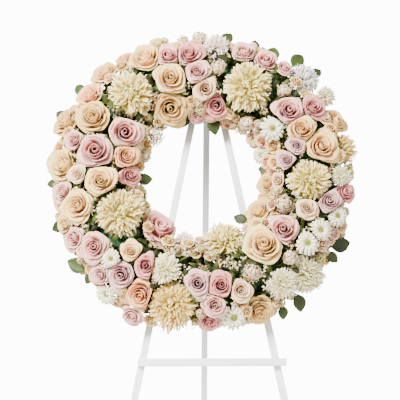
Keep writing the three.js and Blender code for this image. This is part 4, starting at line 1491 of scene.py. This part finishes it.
@dataclass(frozen=True)
class Finish:
    """A surface: its gloss, and its fine pattern, in millimetres.

    The pattern of a grown finish follows the petal or leaf: `sheet` is the half width and the
    length of a common one, and `grain` the pattern's size across and along it. The pattern of a
    made finish is solid, and `grain` is its size along x, y and z.
    """

    name: str
    roughness: float
    specular: float = 0.5
    metallic: float = 0.0
    sheen: float = 0.0
    subsurface: float = 0.0
    colour: str = "ffffff"
    sheet: tuple[float, float] = (1.0, 1.0)
    grain: tuple[float, ...] = (1.0, 1.0, 1.0)
    apart: float = 31.0  # keeps the patterns of neighbouring sheets apart
    spread: float = 0.1
    bump: float = 0.1
    depth: float = 0.2

    BLOTCH = 7.0  # mm, soft uneven colour on a petal or leaf
    WORN = 110.0  # mm, broad patches on a manufactured surface
    GLOW = 4.0  # mm that light travels inside a petal
    PATTERN = (0.6, 1.4)  # what two patterns usually add up to
    UNEVEN = (-0.08, 0.12)  # how much a manufactured surface's gloss varies

    def begin(self) -> tuple[bpy.types.Material, bpy.types.NodeTree, bpy.types.Node]:
        """Starts the material, with the finish's own values on its shader.

        Returns:
            The material, its tree and its shader.
        """
        material = bpy.data.materials.new(self.name)
        material.use_nodes = True
        tree = material.node_tree
        tree.nodes.clear()
        out = add_node(tree, "ShaderNodeOutputMaterial")
        values = {
            "Roughness": self.roughness,
            "Specular IOR Level": self.specular,
            "Metallic": self.metallic,
            "Sheen Weight": self.sheen,
            "Subsurface Weight": self.subsurface,
            "Subsurface Scale": self.GLOW * MM,
        }
        shader = add_node(tree, "ShaderNodeBsdfPrincipled", values)
        tree.links.new(shader.outputs[0], out.inputs["Surface"])
        return material, tree, shader

    @staticmethod
    def noise(
        tree: bpy.types.NodeTree, place: bpy.types.NodeSocket, scale: float, detail: float
    ) -> bpy.types.NodeSocket:
        """Adds a noise pattern.

        Args:
            tree: The material's tree.
            place: Where the pattern is read.
            scale: How often it repeats in one unit.
            detail: How many finer layers it has.

        Returns:
            The pattern's output.
        """
        values = {"Vector": place, "Scale": scale, "Detail": detail}
        return add_node(tree, "ShaderNodeTexNoise", values).outputs[0]

    def mottle(
        self,
        tree: bpy.types.NodeTree,
        shader: bpy.types.Node,
        colour: bpy.types.NodeSocket | Sequence[float],
        fine: bpy.types.NodeSocket,
        broad: bpy.types.NodeSocket,
        lightest: float,
    ) -> None:
        """Varies the colour by a fine and a broad pattern, and raises the surface by the fine one.

        Args:
            tree: The material's tree.
            shader: Its shader.
            colour: The plain colour.
            fine: The fine pattern.
            broad: The broad one.
            lightest: What the colour is multiplied with at its lightest.
        """
        both = add_node(tree, "ShaderNodeMath", {0: fine, 1: broad}, operation="ADD")
        values = {
            "Value": both.outputs[0],
            "From Min": self.PATTERN[0],
            "From Max": self.PATTERN[1],
            "To Min": 1 - self.spread,
            "To Max": lightest,
        }
        share = add_node(tree, "ShaderNodeMapRange", values).outputs[0]
        mixed = add_node(
            tree, "ShaderNodeVectorMath", {0: colour, "Scale": share}, operation="SCALE"
        )
        values = {"Strength": self.bump, "Distance": self.depth * MM, "Height": fine}
        bump = add_node(tree, "ShaderNodeBump", values)
        tree.links.new(mixed.outputs[0], shader.inputs["Base Color"])
        tree.links.new(bump.outputs[0], shader.inputs["Normal"])

    def grown(self) -> bpy.types.Material:
        """Makes a petal or leaf material: the plant's own colours with fine veins along the sheet.

        Returns:
            The material.
        """
        material, tree, shader = self.begin()
        tint = add_node(tree, "ShaderNodeAttribute", attribute_name="tint")
        sheet = add_node(tree, "ShaderNodeAttribute", attribute_name="sheet")
        across, along = (size / grain for size, grain in zip(self.sheet, self.grain))
        values = {0: sheet.outputs["Vector"], 1: (across, along, self.apart)}
        scaled = add_node(tree, "ShaderNodeVectorMath", values, operation="MULTIPLY")
        veins = self.noise(tree, scaled.outputs[0], 1.0, 2.0)
        place = add_node(tree, "ShaderNodeTexCoord").outputs["Object"]
        blotch = self.noise(tree, place, 1 / (self.BLOTCH * MM), 3.0)
        self.mottle(tree, shader, tint.outputs["Color"], veins, blotch, 1 + self.spread * 0.6)
        return material

    def made(self) -> bpy.types.Material:
        """Makes a manufactured material: one colour, mottled and bumped along its grain.

        Returns:
            The material.
        """
        material, tree, shader = self.begin()
        place = add_node(tree, "ShaderNodeTexCoord").outputs["Object"]
        values = {0: place, 1: tuple(1 / (size * MM) for size in self.grain)}
        scaled = add_node(tree, "ShaderNodeVectorMath", values, operation="MULTIPLY")
        grain = self.noise(tree, scaled.outputs[0], 1.0, 5.0)
        worn = self.noise(tree, place, 1 / (self.WORN * MM), 4.0)
        self.mottle(tree, shader, linear(self.colour), grain, worn, 1.0)
        values = {
            "Value": grain,
            "To Min": self.roughness + self.UNEVEN[0],
            "To Max": self.roughness + self.UNEVEN[1],
        }
        rough = add_node(tree, "ShaderNodeMapRange", values)
        tree.links.new(rough.outputs[0], shader.inputs["Roughness"])
        return material


# Rose petal, grown. Its skin is a velvet of tiny cones: a matt petal with a faint sheen at its
# edge, and a glow where light passes through. Its veins lie 0.5 mm apart, too fine to show, so
# they are drawn 2 mm apart.
ROSE_FINISH = Finish(
    "rose_petal", 0.55, 0.35, sheen=0.25, subsurface=0.1, sheet=(18.0, 39.0), grain=(2.0, 30.0)
)
# Chrysanthemum petal, grown. A smooth waxy strap with grooves 0.5 mm apart along it, which break
# its light into long soft streaks.
MUM_FINISH = Finish(
    "mum_petal", 0.6, 0.3, sheen=0.15, subsurface=0.1, sheet=(2.5, 30.0), grain=(0.5, 30.0)
)
# Petal of a white button flower, grown. The same grooved strap, shorter and a little duller.
DAISY_FINISH = Finish(
    "daisy_petal", 0.6, 0.3, sheen=0.1, subsurface=0.1, sheet=(2.5, 20.0), grain=(0.5, 20.0)
)
# Baby's breath and other small florets, grown. Papery and dry: no gloss, and a crumpled tone in
# folds of 0.75 mm.
GYP_FINISH = Finish("filler_floret", 0.7, 0.3, sheet=(3.0, 3.0), grain=(0.75, 0.75), spread=0.18)
# Broad evergreen leaf, grown. A thick waxy skin: soft highlights on a green that goes blotchy
# between veins, 2 mm apart across the leaf and 4 mm along it.
LEAF_FINISH = Finish(
    "leaf", 0.55, 0.25, sheet=(14.0, 36.0), grain=(2.0, 4.0), spread=0.28, bump=0.3
)
# Flower stem, grown. Ribbed every 1 mm and waxy, so its light runs in narrow lines, broken where
# the green changes every 5 mm.
STEM_FINISH = Finish(
    "stem", 0.5, 0.45, sheet=(3.0, 70.0), grain=(1.0, 5.0), apart=5.0, spread=0.2, bump=0.2
)
# Pine, planed and sprayed with satin white paint. An even white with broad soft highlights and a
# little of the grain raised under it. Its grain lines are 1 mm apart, too fine to show, so they
# are drawn 2.4 mm apart, and 38 mm long.
PAINT = Finish(
    "satin_painted_pine",
    0.5,
    0.45,
    colour="eeeeec",
    grain=(2.4, 2.4, 38.0),
    spread=0.07,
    bump=0.16,
)
# Zinc-plated steel wire and screws, dipped bright. A bluish grey metal whose reflections are
# dulled by crystals of 0.1 mm, drawn 0.67 mm wide and 2 mm long so that they show.
ZINC = Finish(
    "zinc_plated_steel", 0.38, 0.5, 0.9, colour="c2c5c8", grain=(0.67, 0.67, 2.0), spread=0.18
)
# Polypropylene, moulded. A satin green with the fine tooth of the mould, 0.3 mm wide and drawn
# 0.8 mm wide.
TRAY = Finish(
    "moulded_polypropylene",
    0.55,
    0.45,
    colour="2f4b34",
    grain=(0.8, 0.8, 0.8),
    spread=0.15,
    bump=0.08,
)
# Phenolic florist's foam, cut and soaked. Dull dark green and open-celled, so it has no
# highlights; its cells are 0.2 mm wide and are drawn 0.5 mm wide.
FOAM = Finish(
    "wet_phenolic_foam",
    0.9,
    0.2,
    colour="3d6641",
    grain=(0.5, 0.5, 0.5),
    spread=0.4,
    bump=0.7,
    depth=0.6,
)
# Matt plaster floor, trowelled. A plain pale ground with clouds of tone 33 mm wide.
FLOOR = Finish(
    "matt_plaster",
    0.8,
    0.2,
    colour="f3f3f3",
    grain=(33.0, 33.0, 33.0),
    spread=0.02,
    bump=0.02,
)


# ---- the easel and the ring's hardware -----------------------------------------------------------


@dataclass
class Part:
    """One manufactured piece: a copy of its CAD solid with softened edges."""

    node: str
    finish: Finish
    slot: str
    bevel: float
    body: str = "front_frame"

    MERGE = 0.02  # mm, corners nearer than this are one
    FLAT = math.radians(0.6)  # faces within this of each other are one
    CORNER = math.radians(40)  # edges sharper than this are rounded
    SMOOTH = math.radians(34)  # faces within this of each other shade as one

    def make(self, material: bpy.types.Material) -> bpy.types.Object:
        """Copies the solid, merges its corners, rounds its edges and puts it in its place.

        Args:
            material: Its finish.

        Returns:
            The piece.
        """
        source = frame["nodes"][self.node]
        mesh = source.data.copy()
        piece = bpy.data.objects.new(f"{self.node}_dressed", mesh)
        bpy.context.scene.collection.objects.link(piece)
        bpy.ops.object.select_all(action="DESELECT")
        bpy.context.view_layer.objects.active = piece
        piece.select_set(True)
        bpy.ops.mesh.customdata_custom_splitnormals_clear()
        bpy.ops.object.mode_set(mode="EDIT")
        bpy.ops.mesh.select_all(action="SELECT")
        bpy.ops.mesh.remove_doubles(threshold=self.MERGE * MM)
        bpy.ops.mesh.dissolve_limited(angle_limit=self.FLAT)
        bpy.ops.mesh.normals_make_consistent(inside=False)
        bpy.ops.object.mode_set(mode="OBJECT")
        if self.bevel:
            edge = piece.modifiers.new("edge", "BEVEL")
            edge.width = self.bevel * MM
            edge.segments = 3
            edge.limit_method = "ANGLE"
            edge.angle_limit = self.CORNER
            bpy.ops.object.modifier_apply(modifier=edge.name)
        bpy.ops.object.shade_smooth_by_angle(angle=self.SMOOTH)
        mesh.materials.clear()
        mesh.materials.append(material)
        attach(piece, self.body)
        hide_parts(self.node)
        LOG.info("part %s: %d faces", piece.name, len(mesh.polygons))
        return piece


PARTS = (
    Part("front_leg_left", PAINT, "white_paint", 0.9),
    Part("front_leg_right", PAINT, "white_paint", 0.9),
    Part("crossbar", PAINT, "white_paint", 0.9),
    Part("head_block", PAINT, "white_paint", 0.8),
    Part("rear_leg", PAINT, "white_paint", 0.9, "rear_strut"),
    Part("crossbar_screw_left", ZINC, "zinc", 0.2),
    Part("crossbar_screw_right", ZINC, "zinc", 0.2),
    Part("hinge_pin", ZINC, "zinc", 0.3),
    Part("head_hook", ZINC, "zinc", 0.0),
    Part("hanger_wire", ZINC, "zinc", 0.0),
    Part("backing_tray", TRAY, "tray_plastic", 0.6),
    Part("foam_ring", FOAM, "wet_foam", 0.0),
)
KIND_SLOT = {
    Kind.MUM: ("mum_petals", MUM_FINISH),
    Kind.ROSE: ("cream_petals", ROSE_FINISH),
    Kind.SPRAY_ROSE: ("pink_petals", ROSE_FINISH),
    Kind.BUTTON_MUM: ("button_petals", DAISY_FINISH),
    Kind.PUFF: ("babys_breath", GYP_FINISH),
    Kind.LEAF: ("leaves", LEAF_FINISH),
}


class Wreath:
    """The wreath: its planted ring, its filler and the easel that it hangs on."""

    def __init__(self) -> None:
        """Seats the heads and readies the finishes."""
        self.ring = Ring()
        self.grower = Grower()
        grown = (ROSE_FINISH, MUM_FINISH, DAISY_FINISH, GYP_FINISH, LEAF_FINISH, STEM_FINISH)
        self.materials = {finish.name: finish.grown() for finish in grown}
        made = (PAINT, ZINC, TRAY, FOAM)
        self.materials.update({finish.name: finish.made() for finish in made})

    def place(self, build: Build, name: str, kind: Kind, nodes: Sequence[str]) -> None:
        """Makes a plant's piece and ties it to the frame.

        Args:
            build: Its meshes.
            name: The piece's name.
            kind: What grows on it.
            nodes: The CAD nodes that it stands for.
        """
        slot, finish = KIND_SLOT[kind]
        materials = [self.materials[finish.name], self.materials[STEM_FINISH.name]]
        piece = build.piece(name, self.ring, materials)
        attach(piece, "front_frame")
        if nodes:
            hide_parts(*nodes)
        LOG.info("plant %s: %d faces", name, len(piece.data.polygons))

    def plants(self) -> None:
        """Grows every plant of the plan."""
        grow = {
            Kind.ROSE: self.grower.rose,
            Kind.SPRAY_ROSE: self.grower.rose,
            Kind.MUM: self.grower.mum,
            Kind.BUTTON_MUM: self.grower.daisy,
            Kind.PUFF: self.grower.puff,
        }
        for number, (node, kind, _) in enumerate(named_plants()):
            build = Build()
            heads = [h for h in self.ring.heads if h.node == node]
            for index, head in enumerate(heads):
                grow[kind](build, head, np.random.default_rng(SEED_STEP * number + index))
            self.grower.stems(build, heads)
            self.place(build, f"{node}_petals", kind, [node])

    def runners(self) -> None:
        """Grows the leafy runners."""
        for number, (node, rim, angles, _) in enumerate(RUNNERS):
            build = Build()
            leaves = [h for h in self.ring.heads if h.node == node]
            chance = np.random.default_rng(RUNNER_SEED + number)
            Runner(rim, angles).grow(build, leaves, self.grower, chance)
            self.place(build, f"{node}_leaves", Kind.LEAF, [node])

    def filler(self) -> None:
        """Fills the gaps between the blooms."""
        filler = Filler(self.ring, self.grower)
        build = Build()
        filler.leaves(build, np.random.default_rng(LEAF_SEED))
        filler.collar(build, np.random.default_rng(COLLAR_SEED))
        self.place(build, "filler_leaves", Kind.LEAF, [])
        build = Build()
        filler.florets(build, np.random.default_rng(FLORET_SEED))
        self.place(build, "filler_florets", Kind.PUFF, [])
        build, buds = Build(), Build()
        filler.clusters(build, buds, np.random.default_rng(CLUSTER_SEED))
        self.place(build, "filler_clusters", Kind.PUFF, [])
        self.place(buds, "filler_buds", Kind.ROSE, [])

    def hardware(self) -> None:
        """Makes the easel, the tray, the foam and the hanger."""
        for part in PARTS:
            part.make(self.materials[part.finish.name])


# ---- the studio ----------------------------------------------------------------------------------


@dataclass(frozen=True)
class Softbox:
    """A large soft lamp that looks at the wreath."""

    name: str
    place: tuple[float, float, float]
    size: float
    power: float

    def make(self, target: Vector) -> None:
        """Hangs the lamp.

        Args:
            target: What it looks at.
        """
        lamp = bpy.data.lights.new(self.name, "AREA")
        lamp.shape = "SQUARE"
        lamp.size = self.size
        lamp.energy = self.power
        made = bpy.data.objects.new(self.name, lamp)
        bpy.context.scene.collection.objects.link(made)
        made.location = self.place
        made.rotation_mode = "QUATERNION"
        made.rotation_quaternion = (target - Vector(self.place)).to_track_quat("-Z", "Y")


class Studio:
    """A pale floor, a bright surround, soft lamps and the camera."""

    FLOOR_RADIUS = 1.55
    FLOOR_GAP = 0.0005  # the floor lies this far under the feet
    SOFT = (1, 0.975, 0.94, 1)  # a little warm
    SOFT_STRENGTH = 0.62
    WHITE_STRENGTH = 13.0  # bright enough to be seen as plain white
    LENS = 100.0
    DISTANCE = 2.56
    AZIMUTH = math.radians(-1.3)
    AIM = Vector((-0.0077, -0.25, 0.852))
    LAMPS = (
        Softbox("key", (-1.9, -3.1, 2.9), 1.4, 760.0),
        Softbox("fill", (2.4, -2.6, 1.4), 2.4, 70.0),
        Softbox("back", (0.4, 2.6, 2.6), 2.0, 70.0),
    )

    def floor(self) -> None:
        """Lays a round pale floor."""
        bpy.ops.object.select_all(action="DESELECT")
        bpy.ops.mesh.primitive_circle_add(vertices=96, radius=self.FLOOR_RADIUS, fill_type="NGON")
        floor = bpy.context.object
        floor.name = "floor"
        floor.location.z = -self.FLOOR_GAP
        floor.data.materials.append(FLOOR.made())

    def surround(self) -> None:
        """Sets a white surround: soft as a light, and bright where it is seen."""
        world = bpy.data.worlds.new("surround")
        bpy.context.scene.world = world
        world.use_nodes = True
        tree = world.node_tree
        tree.nodes.clear()
        seen = add_node(tree, "ShaderNodeLightPath")
        values = {"Color": self.SOFT, "Strength": self.SOFT_STRENGTH}
        soft = add_node(tree, "ShaderNodeBackground", values)
        values = {"Color": (1, 1, 1, 1), "Strength": self.WHITE_STRENGTH}
        bright = add_node(tree, "ShaderNodeBackground", values)
        values = {0: seen.outputs["Is Camera Ray"], 1: soft.outputs[0], 2: bright.outputs[0]}
        both = add_node(tree, "ShaderNodeMixShader", values)
        add_node(tree, "ShaderNodeOutputWorld", {"Surface": both.outputs[0]})

    def camera(self) -> None:
        """Sets up the camera, level and a little left of the wreath's front."""
        data = bpy.data.cameras.new("camera")
        data.lens = self.LENS
        data.sensor_width = 36.0
        camera = bpy.data.objects.new("camera", data)
        bpy.context.scene.collection.objects.link(camera)
        back = Vector((math.sin(self.AZIMUTH), -math.cos(self.AZIMUTH), 0.0))
        camera.location = self.AIM + back * self.DISTANCE
        camera.rotation_mode = "QUATERNION"
        camera.rotation_quaternion = (-back).to_track_quat("-Z", "Y")
        bpy.context.scene.camera = camera

    def make(self) -> None:
        """Builds the whole studio."""
        self.camera()
        self.floor()
        self.surround()
        for lamp in self.LAMPS:
            lamp.make(self.AIM)


def main() -> None:
    """Builds the studio and the wreath."""
    Studio().make()
    wreath = Wreath()
    wreath.hardware()
    wreath.plants()
    wreath.runners()
    wreath.filler()


if __name__ == "__main__":
    main()
